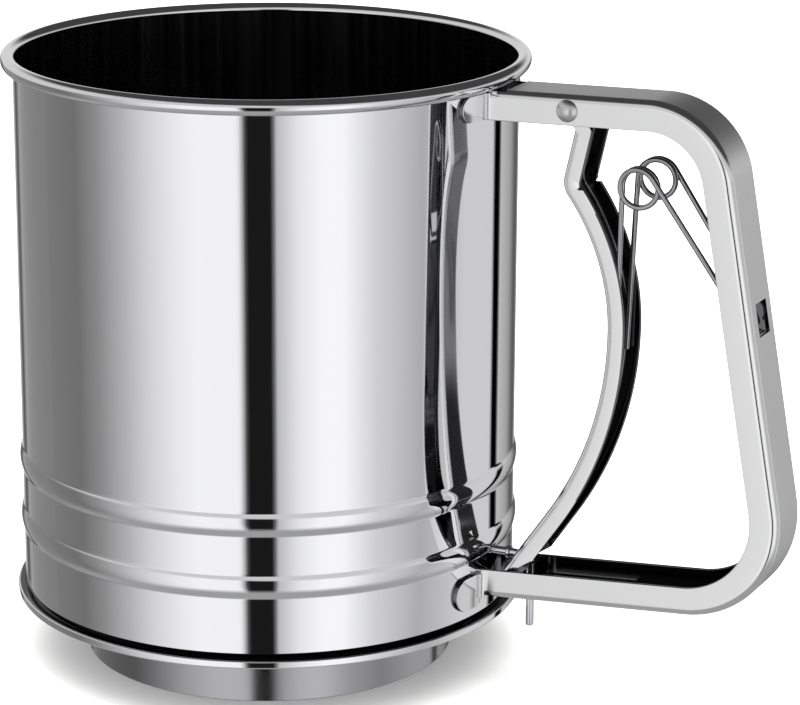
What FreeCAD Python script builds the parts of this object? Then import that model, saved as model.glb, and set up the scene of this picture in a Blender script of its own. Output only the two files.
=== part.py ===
import FreeCAD, Part
import math
import os

import Sketcher
from FreeCAD import Placement, Rotation, Vector

"""Squeeze-handle flour sifter, in millimetres.

The origin is on the cup's axis, in the plane that the collar stands on. +Z is up, towards the mouth, and +X
points out through the handle. Squeezing the trigger pulls the drive rod along +X, and the rod turns the crank of
the agitator, which sweeps back and forth over the screen.
"""

# Driving dimensions: name, millimetres or degrees, meaning.
ROWS = [
    ("cup_radius", 50.0, "outside radius of the cup wall"),
    ("cup_wall", 0.6, "sheet thickness of the cup"),
    ("curl_height", 121.8, "height of the centre of the rim curl"),
    ("curl_radius", 1.5, "outside radius of the rim curl"),
    ("curl_gap_angle", 240.0, "direction in which the rim curl ends"),
    ("bead_low", 28.0, "height of the lower bead"),
    ("bead_high", 40.5, "height of the upper bead"),
    ("bead_width", 5.4, "height of each bead's bulge"),
    ("bead_round", 6.9, "radius of each bead's bulge"),
    ("neck_radius", 49.1, "outside radius of the neck under the cup wall"),
    ("neck_top", 15.0, "height at which the wall starts to neck in"),
    ("neck_drop", 0.6, "height of the slope into the neck"),
    ("seat_height", 12.85, "height of the seat that the screen lies on"),
    ("seam_flange", 0.4, "thickness of the cup's foot flange inside the seam"),
    ("flange_radius", 50.6, "outside radius of the cup's foot flange"),
    ("collar_radius", 37.4, "outside radius of the collar"),
    ("collar_bend", 1.25, "bend radius between the collar and its shoulder"),
    ("seam_round", 0.725, "outside radius of the rolled seam"),
    ("seam_lip", 0.7, "width of the lip rolled over the cup's flange"),
    ("screen_radius", 48.3, "radius of the screen"),
    ("screen_thickness", 0.3, "thickness of the woven screen"),
    ("ring_width", 1.7, "radial width of the ring that holds the screen"),
    ("ring_height", 1.15, "height of that ring"),
    ("bar_top", 12.6, "height of the top of the bar under the screen"),
    ("bar_thickness", 0.8, "thickness of that bar"),
    ("bar_width", 8.0, "width of that bar"),
    ("bar_reach", 36.5, "half length of that bar"),
    ("bar_tab", 6.0, "height of the tabs that join the bar to the collar"),
    ("axle_radius", 1.5, "radius of the agitator's axle"),
    ("axle_head", 3.0, "radius of the axle's head"),
    ("axle_head_height", 1.0, "height of the axle's head"),
    ("running_gap", 0.06, "radial clearance of each running fit"),
    ("washer_radius", 3.4, "radius of the thrust washer"),
    ("washer_thickness", 0.5, "thickness of each washer on the axle"),
    ("axial_gap", 0.15, "end play of the agitator on its axle"),
    ("hub_radius", 3.5, "outside radius of the agitator's hub"),
    ("hub_top", 29.4, "height of the top of the hub"),
    ("cap_radius", 2.7, "radius of the cap nut on the axle"),
    ("cap_height", 1.6, "height of the cap nut"),
    ("arm_wire", 0.9, "radius of the agitator's arm wires"),
    ("arm_height", 18.0, "height at which the arms leave the hub"),
    ("arm_sweep", 14.75, "height of the arms over the screen"),
    ("arm_reach", 43.5, "radius that the arms reach"),
    ("arm_tip", 3.3, "height of the turned-up arm tips"),
    ("arm_bend", 2.0, "bend radius of the arm wires"),
    ("arm_angle", 20.0, "direction of the first arm at rest"),
    ("crank_bottom", 28.1, "height of the underside of the crank"),
    ("crank_thickness", 0.9, "thickness of the crank"),
    ("crank_width", 6.8, "width of the crank at its slot"),
    ("crank_slot", 2.9, "width of the crank's slot"),
    ("crank_inner", 13.8, "radius at which the crank's slot starts"),
    ("crank_outer", 18.4, "radius at which the crank's slot ends"),
    ("rod_radius", 0.8, "radius of the drive rod"),
    ("rod_height", 26.6, "height of the drive rod"),
    ("rod_leg", 58.6, "distance of the rod's hanging leg from the cup's axis"),
    ("rod_foot", 11.9, "height of the foot of that leg"),
    ("rod_bend", 1.7, "bend radius of the rod"),
    ("rod_offset", 15.0, "sideways offset of the rod's hooked end"),
    ("rod_hook", -8.35, "place of the hooked end along the handle's direction"),
    ("rod_hook_top", 31.0, "height of the top of the hooked end"),
    ("rod_stop", 1.35, "radius of the shoulder that the trigger pushes back"),
    ("clip_radius", 2.1, "radius of the clip on the hooked end"),
    ("clip_thickness", 0.7, "thickness of that clip"),
    ("handle_width", 12.8, "outside width of the handle channel"),
    ("handle_depth", 5.8, "depth of the handle channel"),
    ("handle_sheet", 0.8, "sheet thickness of the handle"),
    ("handle_bend", 1.7, "outside bend radius along the handle"),
    ("upper_start_height", 120.6, "height of the upper arm's back at the cup"),
    ("upper_corner_reach", 97.8, "reach of the upper corner"),
    ("upper_corner_height", 122.05, "height of the upper corner"),
    ("upper_round", 17.0, "outside radius of the upper corner"),
    ("lower_corner_reach", 115.5, "reach of the lower corner"),
    ("lower_corner_height", 23.2, "height of the lower corner"),
    ("lower_round", 20.0, "outside radius of the lower corner"),
    ("lower_end_height", 18.35, "height of the lower arm's back at the cup"),
    ("handle_start", 49.0, "distance from the cup's axis at which the channel starts"),
    ("upper_web_end", 54.3, "distance at which the upper arm's back starts"),
    ("lower_web_end", 53.2, "distance at which the lower arm's back starts"),
    ("cup_clear", 50.06, "inside radius of the ears on the cup"),
    ("ear_upper_height", 117.0, "height of the upper ears"),
    ("ear_upper_round", 2.4, "radius of the upper ears"),
    ("ear_upper_reach", 11.3, "sideways place of the upper ears' round"),
    ("ear_lower_height", 19.7, "height of the lower ears"),
    ("ear_lower_round", 3.8, "radius of the lower ears"),
    ("ear_lower_reach", 10.3, "sideways place of the lower ears' round"),
    ("spring_slot_width", 5.5, "width of the slot that holds the spring"),
    ("spring_slot_low", 78.0, "height of the slot's lower edge"),
    ("spring_slot_high", 84.3, "height of the slot's upper edge"),
    ("spring_tab_width", 4.4, "width of the tab inside that slot"),
    ("leg_slot_start", 57.1, "inner end of the slot for the rod's leg"),
    ("leg_slot_end", 77.2, "outer end of that slot"),
    ("leg_slot_width", 2.8, "width of that slot"),
    ("pivot_reach", 67.2, "distance of the trigger's pivot from the cup's axis"),
    ("pivot_height", 118.2, "height of the trigger's pivot"),
    ("rivet_radius", 1.2, "radius of the pivot rivet's shank"),
    ("rivet_head", 2.15, "radius of its heads"),
    ("rivet_proud", 1.7, "height of its heads"),
    ("spacer_thickness", 0.6, "thickness of the spacers beside the trigger"),
    ("spacer_radius", 1.85, "radius of those spacers"),
    ("trigger_width", 9.4, "outside width of the trigger channel"),
    ("trigger_depth", 3.8, "depth of the trigger channel"),
    ("trigger_sheet", 0.7, "sheet thickness of the trigger"),
    ("trigger_bend", 1.4, "outside bend radius along the trigger"),
    ("trigger_top", 115.0, "height of the top of the trigger's channel"),
    ("trigger_top_reach", 67.95, "reach of the trigger's front at its top"),
    ("trigger_lean", 12.6, "slope of the trigger's top from upright"),
    ("kink_round", 4.6, "radius of the kink under the pivot"),
    ("bulge_reach", 75.25, "reach of the trigger's front where it bulges most"),
    ("bulge_height", 75.5, "height at which it bulges most"),
    ("bulge_upper_round", 42.5, "radius of the curve above the bulge"),
    ("bulge_lower_round", 67.0, "radius of the curve below the bulge"),
    ("tail_lean", 34.4, "slope of the trigger's tail from upright"),
    ("tail_height", 24.6, "height of the end of the tail"),
    ("tongue_radius", 1.95, "radius of the ears around the pivot"),
    ("trigger_slot_width", 2.6, "width of the hole for the rod"),
    ("trigger_slot_low", 24.9, "height of the lower edge of that hole"),
    ("trigger_slot_high", 28.7, "height of the upper edge of that hole"),
    ("spring_wire", 0.55, "radius of the spring wire"),
    ("coil_radius", 3.7, "radius of the spring's coils"),
    ("coil_reach", 81.5, "reach of the coils' centre"),
    ("coil_height", 104.5, "height of the coils' centre"),
    ("coil_inner", 3.9, "sideways place at which each coil starts"),
    ("coil_pitch", 1.3, "pitch of the coils"),
    ("coil_step", 15.0, "angle of each straight run of a coil"),
    ("bridge_reach", 103.55, "reach of the bridge between the spring's legs"),
    ("bridge_height", 79.75, "height of that bridge"),
    ("bridge_half", 1.9, "sideways place of the legs at the bridge"),
    ("leg_bend_reach", 98.8, "reach of the inward bend of each leg before the bridge"),
    ("leg_bend_side", 4.7, "sideways place of that bend"),
    ("spring_tip_reach", 76.75, "reach of the spring's free tips"),
    ("spring_tip_height", 70.7, "height of those tips"),
    ("spring_tip_side", 2.9, "sideways place of those tips"),
]


class Size:
    """A driving dimension, or a sum of them: its number, and the text of the expression that gives it."""

    def __init__(self, value, text):
        self.value = value
        self.text = text

    def joined(self, sign, other, value):
        """The size that an operation with another size, or a plain number, gives."""
        return Size(value, f"({self.text} {sign} {other.text})")

    def __add__(self, other):
        other = as_size(other)
        return self.joined("+", other, self.value + other.value)

    def __sub__(self, other):
        other = as_size(other)
        return self.joined("-", other, self.value - other.value)

    def __mul__(self, other):
        other = as_size(other)
        return self.joined("*", other, self.value * other.value)

    def __truediv__(self, other):
        other = as_size(other)
        return self.joined("/", other, self.value / other.value)

    def __neg__(self):
        return Size(-self.value, f"(-{self.text})")


def as_size(number):
    """A plain number as a Size."""
    return number if isinstance(number, Size) else Size(number, str(number))


class Sheet:
    """The spreadsheet of driving dimensions, read by name as Sizes."""

    def __init__(self, document, rows):
        sheet = document.addObject("Spreadsheet::Sheet", "Sizes")
        self.sizes = {}
        for row, (alias, number, meaning) in enumerate(rows, start=1):
            sheet.set(f"A{row}", meaning)
            sheet.set(f"B{row}", str(number))
            sheet.setAlias(f"B{row}", alias)
            self.sizes[alias] = Size(number, f"Sizes.{alias}")

    def __getattr__(self, alias):
        return self.sizes[alias]


doc = FreeCAD.newDocument("flour_sifter")
size = Sheet(doc, ROWS)
ZERO = as_size(0)
UP = Vector(0, 0, 1)


# ---------------------------------------------------------------- sketches and features

def new_sketch(body, plane, lift=None, name="outline"):
    """A sketch on one of the body's own origin planes, moved along the plane's normal by lift."""
    sketch = body.newObject("Sketcher::SketchObject", f"{body.Name}_{name}")
    support = [f for f in body.Origin.OriginFeatures if f.Role == f"{plane}_Plane"][0]
    sketch.AttachmentSupport = [(support, "")]
    sketch.MapMode = "FlatFace"
    if lift is not None:
        sketch.setExpression(".AttachmentOffset.Base.z", lift.text)
    return sketch


def bind(sketch, kind, places, size_wanted):
    """A dimension on the sketch, bound to its size. Places are the geometry and point numbers."""
    number = sketch.addConstraint(Sketcher.Constraint(kind, *places, size_wanted.value))
    sketch.setExpression(f"Constraints[{number}]", size_wanted.text)


def bind_slope(sketch, line, lean):
    """Turns a line that runs down and inwards to its slope from upright, in degrees."""
    angle = as_size(-90) - lean
    number = sketch.addConstraint(Sketcher.Constraint("Angle", line, math.radians(angle.value)))
    sketch.setExpression(f"Constraints[{number}]", f"{angle.text} * 1 deg")


def fix_along(sketch, place, kind, along):
    """Fixes one coordinate of a point: DistanceX or DistanceY from the sketch's origin."""
    if along.value == 0:
        axis = -2 if kind == "DistanceX" else -1
        sketch.addConstraint(Sketcher.Constraint("PointOnObject", *place, axis))
    elif along.value > 0:
        bind(sketch, kind, (-1, 1, *place), along)
    else:
        bind(sketch, kind, (*place, -1, 1), -along)


def fix_point(sketch, place, corner):
    """Fixes one point of the sketch at the two coordinates of the corner."""
    fix_along(sketch, place, "DistanceX", corner[0])
    fix_along(sketch, place, "DistanceY", corner[1])


def arc_between(start, end, radius, turn, large=False):
    """The arc from start to end. Turn is 1 where it runs counterclockwise and -1 where it runs clockwise."""
    chord = end - start
    rise = math.sqrt(max(radius ** 2 - (chord.Length / 2) ** 2, 0.0))
    side = turn * (-1 if large else 1)
    normal = Vector(-chord.y, chord.x, 0).normalize()
    centre = (start + end) * 0.5 + normal * (rise * side)
    first, last = (start, end) if turn > 0 else (end, start)
    angles = [math.atan2(p.y - centre.y, p.x - centre.x) for p in (first, last)]
    return Part.ArcOfCircle(Part.Circle(centre, UP, radius), *angles)


def add_outline(sketch, corners, arcs=None):
    """A closed outline through the corners. Arcs gives, by the number of the corner that an arc starts from,
    its radius, its turn and whether it is more than half a circle; every other side is straight."""
    arcs = arcs or {}
    count = len(corners)
    spots = [Vector(x.value, y.value, 0) for x, y in corners]
    ends = []
    for i in range(count):
        start, end = spots[i], spots[(i + 1) % count]
        if i in arcs:
            radius, turn, large = arcs[i]
            side = sketch.addGeometry(arc_between(start, end, radius.value, turn, large))
            ends.append((side, 1, 2) if turn > 0 else (side, 2, 1))
        else:
            side = sketch.addGeometry(Part.LineSegment(start, end))
            ends.append((side, 1, 2))
    for i in range(count):
        side, start, _ = ends[i]
        before, _, end = ends[i - 1]
        sketch.addConstraint(Sketcher.Constraint("Coincident", before, end, side, start))
        fix_point(sketch, (side, start), corners[i])
        if i in arcs:
            fix_arc(sketch, side, arcs[i][0], spots[i], spots[(i + 1) % count], corners[i])


def fix_arc(sketch, side, radius, start, end, corner):
    """Fixes an arc whose ends are fixed: by its radius, or where it is half a circle by its centre's place,
    in line with its upright or level chord."""
    if abs((end - start).Length - 2 * radius.value) > 1e-9:
        bind(sketch, "Radius", (side,), radius)
    elif abs(end.x - start.x) < 1e-9:
        fix_along(sketch, (side, 3), "DistanceX", corner[0])
    else:
        fix_along(sketch, (side, 3), "DistanceY", corner[1])


def add_circle(sketch, centre, radius):
    """A circle about the centre, given as two sizes."""
    spot = Vector(centre[0].value, centre[1].value, 0)
    side = sketch.addGeometry(Part.Circle(spot, UP, radius.value))
    bind(sketch, "Radius", (side,), radius)
    fix_point(sketch, (side, 3), centre)


def rectangle(left, right, low, high):
    """The four corners of an upright rectangle."""
    return [(left, low), (right, low), (right, high), (left, high)]


def new_body(name):
    """A body whose label is the name of the piece."""
    body = doc.addObject("PartDesign::Body", f"{name}_body")
    body.Label = name
    return body


def revolved(name, corners, arcs=None):
    """A piece turned about the Z axis from its half section."""
    body = new_body(name)
    sketch = new_sketch(body, "XZ")
    add_outline(sketch, corners, arcs)
    turned = body.newObject("PartDesign::Revolution", f"{name}_turned")
    turned.Profile = sketch
    turned.ReferenceAxis = (sketch, ["V_Axis"])
    turned.Angle = 360
    return body


def pad(body, sketch, length, both_ways=False):
    """A pad of the sketch, along its normal or to both sides of it."""
    feature = body.newObject("PartDesign::Pad", f"{sketch.Name}_pad")
    feature.Profile = sketch
    feature.setExpression("Length", length.text)
    if both_ways:
        feature.SideType = "Symmetric"
    return feature


def pocket(body, sketch, length, both_ways=False):
    """A pocket of the sketch, against its normal or to both sides of it. It must take material away."""
    doc.recompute()
    before = body.Shape.Volume
    feature = body.newObject("PartDesign::Pocket", f"{sketch.Name}_pocket")
    feature.Profile = sketch
    feature.setExpression("Length", length.text)
    if both_ways:
        feature.SideType = "Symmetric"
    doc.recompute()
    if body.Shape.Volume >= before:
        raise RuntimeError(f"{feature.Name} takes nothing away")
    return feature


def washer(name, low, thickness, inner, outer, centre=(ZERO, ZERO)):
    """A flat ring that lies across the Z axis."""
    body = new_body(name)
    sketch = new_sketch(body, "XY", low)
    add_circle(sketch, centre, inner)
    add_circle(sketch, centre, outer)
    pad(body, sketch, thickness)
    return body


def wire_path(points, bend):
    """A wire through the points, with each corner rounded to the bend radius."""
    edges = []
    start = points[0]
    for before, corner, after in zip(points, points[1:], points[2:]):
        back = (before - corner).normalize()
        ahead = (after - corner).normalize()
        half = back.getAngle(ahead) / 2
        reach = bend / math.tan(half)
        middle = (back + ahead).normalize()
        enter = corner + back * reach
        leave = corner + ahead * reach
        crown = corner + middle * (bend / math.sin(half) - bend)
        edges.append(Part.LineSegment(start, enter).toShape())
        edges.append(Part.Arc(enter, crown, leave).toShape())
        start = leave
    edges.append(Part.LineSegment(start, points[-1]).toShape())
    return Part.Wire(edges)


def round_bar(path, radius):
    """A round bar of that radius along the path, which starts at a straight run."""
    start = path.OrderedVertexes[0].Point
    ahead = path.OrderedEdges[0].tangentAt(path.OrderedEdges[0].FirstParameter)
    ring = Part.Wire([Part.Circle(start, ahead, radius).toShape()])
    return path.makePipeShell([ring], True, False)


def mitred_bar(points, radius):
    """A round bar of that radius through the points, with mitred joints."""
    start = Part.Circle(points[0], points[1] - points[0], radius).toShape()
    sweep = Part.BRepOffsetAPI.MakePipeShell(Part.makePolygon(points))
    sweep.setTransitionMode(1)
    sweep.add(Part.Wire([start]), False, False)
    sweep.build()
    sweep.makeSolid()
    return sweep.shape()


def shaped(name, shape):
    """A piece whose shape is worked out from the sheet's sizes in code."""
    feature = doc.addObject("Part::Feature", f"{name}_shape")
    feature.Shape = shape
    feature.Label = name
    return feature


# ---------------------------------------------------------------- cup, collar and screen

def make_cup():
    """The cup: foot flange, neck, two beads, plain wall and outward rim curl, with a hole for the drive rod."""
    inside = size.cup_radius - size.cup_wall
    neck_inside = size.neck_radius - size.cup_wall
    flange_top = size.seat_height + size.seam_flange
    curl_reach = inside + size.curl_radius
    curl_inside = size.curl_radius - size.cup_wall
    across = math.cos(math.radians(size.curl_gap_angle.value))
    along = math.sin(math.radians(size.curl_gap_angle.value))
    low = [size.bead_low - size.bead_width / 2, size.bead_low + size.bead_width / 2]
    high = [size.bead_high - size.bead_width / 2, size.bead_high + size.bead_width / 2]
    corners = [
        (size.flange_radius, size.seat_height),
        (size.flange_radius, flange_top),
        (size.neck_radius, flange_top),
        (size.neck_radius, size.neck_top - size.neck_drop),
        (size.cup_radius, size.neck_top),
        (size.cup_radius, low[0]),
        (size.cup_radius, low[1]),
        (size.cup_radius, high[0]),
        (size.cup_radius, high[1]),
        (size.cup_radius, size.curl_height),
        (curl_reach + curl_inside * across, size.curl_height + curl_inside * along),
        (curl_reach + size.curl_radius * across, size.curl_height + size.curl_radius * along),
        (inside, size.curl_height),
        (inside, high[1]),
        (inside, high[0]),
        (inside, low[1]),
        (inside, low[0]),
        (inside, size.neck_top + 0.25),
        (neck_inside, size.neck_top - size.neck_drop + 0.25),
        (neck_inside, size.seat_height),
    ]
    outward, inward = (size.bead_round, 1, False), (size.bead_round, -1, False)
    arcs = {5: outward, 7: outward, 13: inward, 15: inward}
    arcs[9] = (curl_inside, -1, True)
    arcs[11] = (size.curl_radius, 1, True)
    body = revolved("cup_body", corners, arcs)
    hole = new_sketch(body, "YZ", size.cup_radius + 3, "rod_hole")
    add_circle(hole, (ZERO, size.rod_height), size.rod_radius + size.running_gap)
    pocket(body, hole, as_size(8))
    return body


def make_collar():
    """The collar: the short skirt, the shoulder under the screen and the seam rolled over the cup's flange."""
    inside = size.collar_radius - size.cup_wall
    bend_height = size.seat_height - size.cup_wall - size.collar_bend
    bend_reach = size.collar_radius + size.collar_bend
    seam_reach = size.flange_radius + 0.1
    seam_low = size.seat_height - size.cup_wall
    seam_high = seam_low + size.seam_round * 2
    flange_top = size.seat_height + size.seam_flange
    corners = [
        (inside, ZERO),
        (size.collar_radius, ZERO),
        (size.collar_radius, bend_height),
        (bend_reach, seam_low),
        (seam_reach, seam_low),
        (seam_reach, seam_high),
        (seam_reach - size.seam_lip, seam_high),
        (seam_reach - size.seam_lip, flange_top + 0.02),
        (seam_reach, flange_top + 0.02),
        (seam_reach, size.seat_height),
        (bend_reach, size.seat_height),
        (inside, bend_height),
    ]
    arcs = {
        2: (size.collar_bend, -1, False),
        4: (size.seam_round, 1, False),
        10: (size.collar_bend + size.cup_wall, 1, False),
    }
    return revolved("base_collar", corners, arcs)


def make_screen():
    """The screen, the ring that holds it down, and the bar across the collar under it."""
    top = size.seat_height + size.screen_thickness
    washer("mesh_screen", size.seat_height, size.screen_thickness, size.axle_radius + size.running_gap,
           size.screen_radius)
    inner = size.screen_radius - size.ring_width
    ring = [(inner, top), (size.screen_radius, top), (size.screen_radius, top + size.ring_height),
            (inner + size.ring_height, top + size.ring_height), (inner, top + size.ring_height / 3)]
    revolved("screen_ring", ring)
    reach, sheet = size.bar_reach, size.bar_thickness
    low, under = size.bar_top - size.bar_tab, size.bar_top - size.bar_thickness
    body = new_body("cross_bar")
    sketch = new_sketch(body, "XZ")
    add_outline(sketch, [
        (-reach, low), (sheet - reach, low), (sheet - reach, under), (reach - sheet, under),
        (reach - sheet, low), (reach, low), (reach, size.bar_top), (-reach, size.bar_top),
    ])
    pad(body, sketch, size.bar_width, both_ways=True)
    hole = new_sketch(body, "XY", size.bar_top + 1, "axle_hole")
    add_circle(hole, (ZERO, ZERO), size.axle_radius)
    pocket(body, hole, as_size(4))


# ---------------------------------------------------------------- axle and agitator

def make_axle():
    """The axle, its washers and its cap nut."""
    head_top = size.bar_top - size.bar_thickness
    head_low = head_top - size.axle_head_height
    cap_low = size.hub_top + size.axial_gap + size.washer_thickness
    top = cap_low + size.cap_height - 0.4
    revolved("axle_pin", [
        (ZERO, head_low), (size.axle_head - 0.4, head_low), (size.axle_head, head_low + 0.4),
        (size.axle_head, head_top), (size.axle_radius, head_top), (size.axle_radius, top), (ZERO, top),
    ])
    screen_top = size.seat_height + size.screen_thickness
    washer("thrust_washer", screen_top, size.washer_thickness, size.axle_radius, size.washer_radius)
    washer("top_washer", cap_low - size.washer_thickness, size.washer_thickness, size.axle_radius,
           size.washer_radius - 0.4)
    cap_top = cap_low + size.cap_height
    revolved("axle_cap", [
        (size.axle_radius, cap_low), (size.cap_radius, cap_low), (size.cap_radius, cap_top - 0.9),
        (size.cap_radius - 0.5, cap_top - 0.2), (size.axle_radius - 0.3, cap_top + 0.2), (ZERO, cap_top + 0.3),
        (ZERO, top), (size.axle_radius, top),
    ])


def make_agitator():
    """The agitator: its hub, four wire arms that sweep the screen, and the slotted crank at the top."""
    low = size.seat_height + size.screen_thickness + size.washer_thickness + size.axial_gap
    bore = size.axle_radius + size.running_gap
    revolved("agitator_hub", [
        (bore, low), (size.hub_radius, low), (size.hub_radius, size.crank_bottom),
        (size.hub_radius - 0.5, size.crank_bottom), (size.hub_radius - 0.5, size.hub_top),
        (bore, size.hub_top),
    ])
    inner = size.hub_radius.value - 0.15
    level, sweep = size.arm_height.value, size.arm_sweep.value
    reach = size.arm_reach.value
    route = [Vector(inner, 0, level), Vector(inner + 3.5, 0, level), Vector(inner + 8, 0, sweep),
             Vector(reach, 0, sweep), Vector(reach, 0, sweep + size.arm_tip.value)]
    arm = round_bar(wire_path(route, size.arm_bend.value), size.arm_wire.value)
    for number in range(4):
        piece = shaped(f"agitator_arm_{number + 1}", arm)
        turn = size.arm_angle.value + 90 * number
        piece.Placement = Placement(Vector(), Rotation(UP, turn))
    make_crank()


def make_crank():
    """The crank: a plate round the hub's neck, with a slot for the rod's hooked end."""
    direction = math.degrees(math.atan2(-size.rod_offset.value, size.rod_hook.value))
    half = size.crank_width / 2
    slot = size.crank_slot / 2
    middle = size.crank_outer - slot
    body = new_body("crank_arm")
    sketch = new_sketch(body, "XY", size.crank_bottom)
    add_outline(sketch, [(ZERO, -(half + 1)), (middle, -half), (middle, half), (ZERO, half + 1)],
                {1: (half, 1, False), 3: (half + 1, 1, False)})
    pad(body, sketch, size.crank_thickness)
    above = size.crank_bottom + size.crank_thickness + 1
    holes = new_sketch(body, "XY", above, "holes")
    add_circle(holes, (ZERO, ZERO), size.hub_radius - 0.5)
    add_outline(holes, [(size.crank_inner + slot, -slot), (middle, -slot), (middle, slot),
                        (size.crank_inner + slot, slot)], {1: (slot, 1, False), 3: (slot, 1, False)})
    pocket(body, holes, size.crank_thickness + 2)
    body.Placement = Placement(Vector(), Rotation(UP, direction))


# ---------------------------------------------------------------- handle

def handle_route(sketch):
    """The line of the handle's back: upper arm, grip and lower arm, with tangent rounds between them."""
    corners = [
        (size.handle_start, size.upper_start_height),
        (size.upper_corner_reach, size.upper_corner_height),
        (size.lower_corner_reach, size.lower_corner_height),
        (size.handle_start, size.lower_end_height),
    ]
    rounds = [size.upper_round, size.lower_round]
    spots = [Vector(x.value, y.value, 0) for x, y in corners]
    joints = [spots[0]]
    for before, corner, after, bend in zip(spots, spots[1:], spots[2:], rounds):
        back, ahead = (before - corner).normalize(), (after - corner).normalize()
        reach = bend.value / math.tan(back.getAngle(ahead) / 2)
        joints += [corner + back * reach, corner + ahead * reach]
    joints.append(spots[3])
    runs = [sketch.addGeometry(Part.LineSegment(joints[i], joints[i + 1])) for i in (0, 2, 4)]
    for number, bend in enumerate(rounds):
        start, end = joints[2 * number + 1], joints[2 * number + 2]
        turn = sketch.addGeometry(arc_between(start, end, bend.value, -1))
        sketch.addConstraint(Sketcher.Constraint("Tangent", runs[number], 2, turn, 2))
        sketch.addConstraint(Sketcher.Constraint("Tangent", turn, 1, runs[number + 1], 1))
        bind(sketch, "Radius", (turn,), bend)
        point = sketch.addGeometry(Part.Point(spots[number + 1]), True)
        fix_point(sketch, (point, 1), corners[number + 1])
        sketch.addConstraint(Sketcher.Constraint("PointOnObject", point, 1, runs[number]))
        sketch.addConstraint(Sketcher.Constraint("PointOnObject", point, 1, runs[number + 1]))
    fix_point(sketch, (runs[0], 1), corners[0])
    fix_point(sketch, (runs[2], 2), corners[3])


def channel_outline(width, depth, sheet, bend, back, side):
    """The corners and arcs of a channel's section. Its back is at that coordinate and its flanges run to the
    given side of it: -1 is towards smaller coordinates, and 1 towards larger ones."""
    half, inner = width / 2, width / 2 - sheet
    inner_bend = bend - sheet
    tip = back + depth * side
    outer_turn, inner_turn = back + bend * side, back + bend * side
    floor = back + sheet * side
    corners = [
        (-half, tip), (-half, outer_turn), (bend - half, back), (half - bend, back), (half, outer_turn),
        (half, tip), (inner, tip), (inner, inner_turn), (inner - inner_bend, floor),
        (inner_bend - inner, floor), (-inner, inner_turn), (-inner, tip),
    ]
    outward = side
    arcs = {1: (bend, outward, False), 3: (bend, outward, False),
            7: (inner_bend, -outward, False), 9: (inner_bend, -outward, False)}
    return corners, arcs


def make_ears():
    """The ears by which the handle is welded to the cup: parts of a thin ring round the cup."""
    ring_outer = doc.addObject("Part::Cylinder", "ear_ring_outer")
    ring_outer.setExpression("Radius", (size.cup_clear + size.handle_sheet).text)
    ring_inner = doc.addObject("Part::Cylinder", "ear_ring_inner")
    ring_inner.setExpression("Radius", size.cup_clear.text)
    for cylinder in (ring_outer, ring_inner):
        cylinder.setExpression("Height", (size.curl_height + 5).text)
    ring = doc.addObject("Part::Cut", "ear_ring")
    ring.Base, ring.Tool = ring_outer, ring_inner
    tabs = []
    rows = [
        ("upper", size.ear_upper_height, size.ear_upper_round, size.ear_upper_reach, -size.ear_upper_round),
        ("lower", size.ear_lower_height, size.ear_lower_round, size.ear_lower_reach, as_size(-1.4)),
    ]
    for place, level, bend, reach, drop in rows:
        for hand, sign in (("near", -1), ("far", 1)):
            lobe = doc.addObject("Part::Cylinder", f"ear_{place}_{hand}_round")
            lobe.Placement = Placement(Vector(), Rotation(Vector(0, 1, 0), 90))
            lobe.setExpression("Radius", bend.text)
            lobe.setExpression("Height", (size.cup_radius + 10).text)
            lobe.setExpression("Placement.Base.y", (reach * sign).text)
            lobe.setExpression("Placement.Base.z", level.text)
            strap = doc.addObject("Part::Box", f"ear_{place}_{hand}_strap")
            root = size.handle_width / 2 - size.handle_sheet
            strap.setExpression("Length", (size.cup_radius + 10).text)
            strap.setExpression("Width", (reach - root).text)
            strap.setExpression("Height", (bend - drop).text)
            strap.setExpression("Placement.Base.y", (-reach if sign < 0 else root).text)
            strap.setExpression("Placement.Base.z", (level + drop).text)
            tabs += [lobe, strap]
    joined = doc.addObject("Part::MultiFuse", "ear_tabs")
    joined.Shapes = tabs
    ears = doc.addObject("Part::Common", "ears")
    ears.Base, ears.Tool = ring, joined
    return ears


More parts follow.
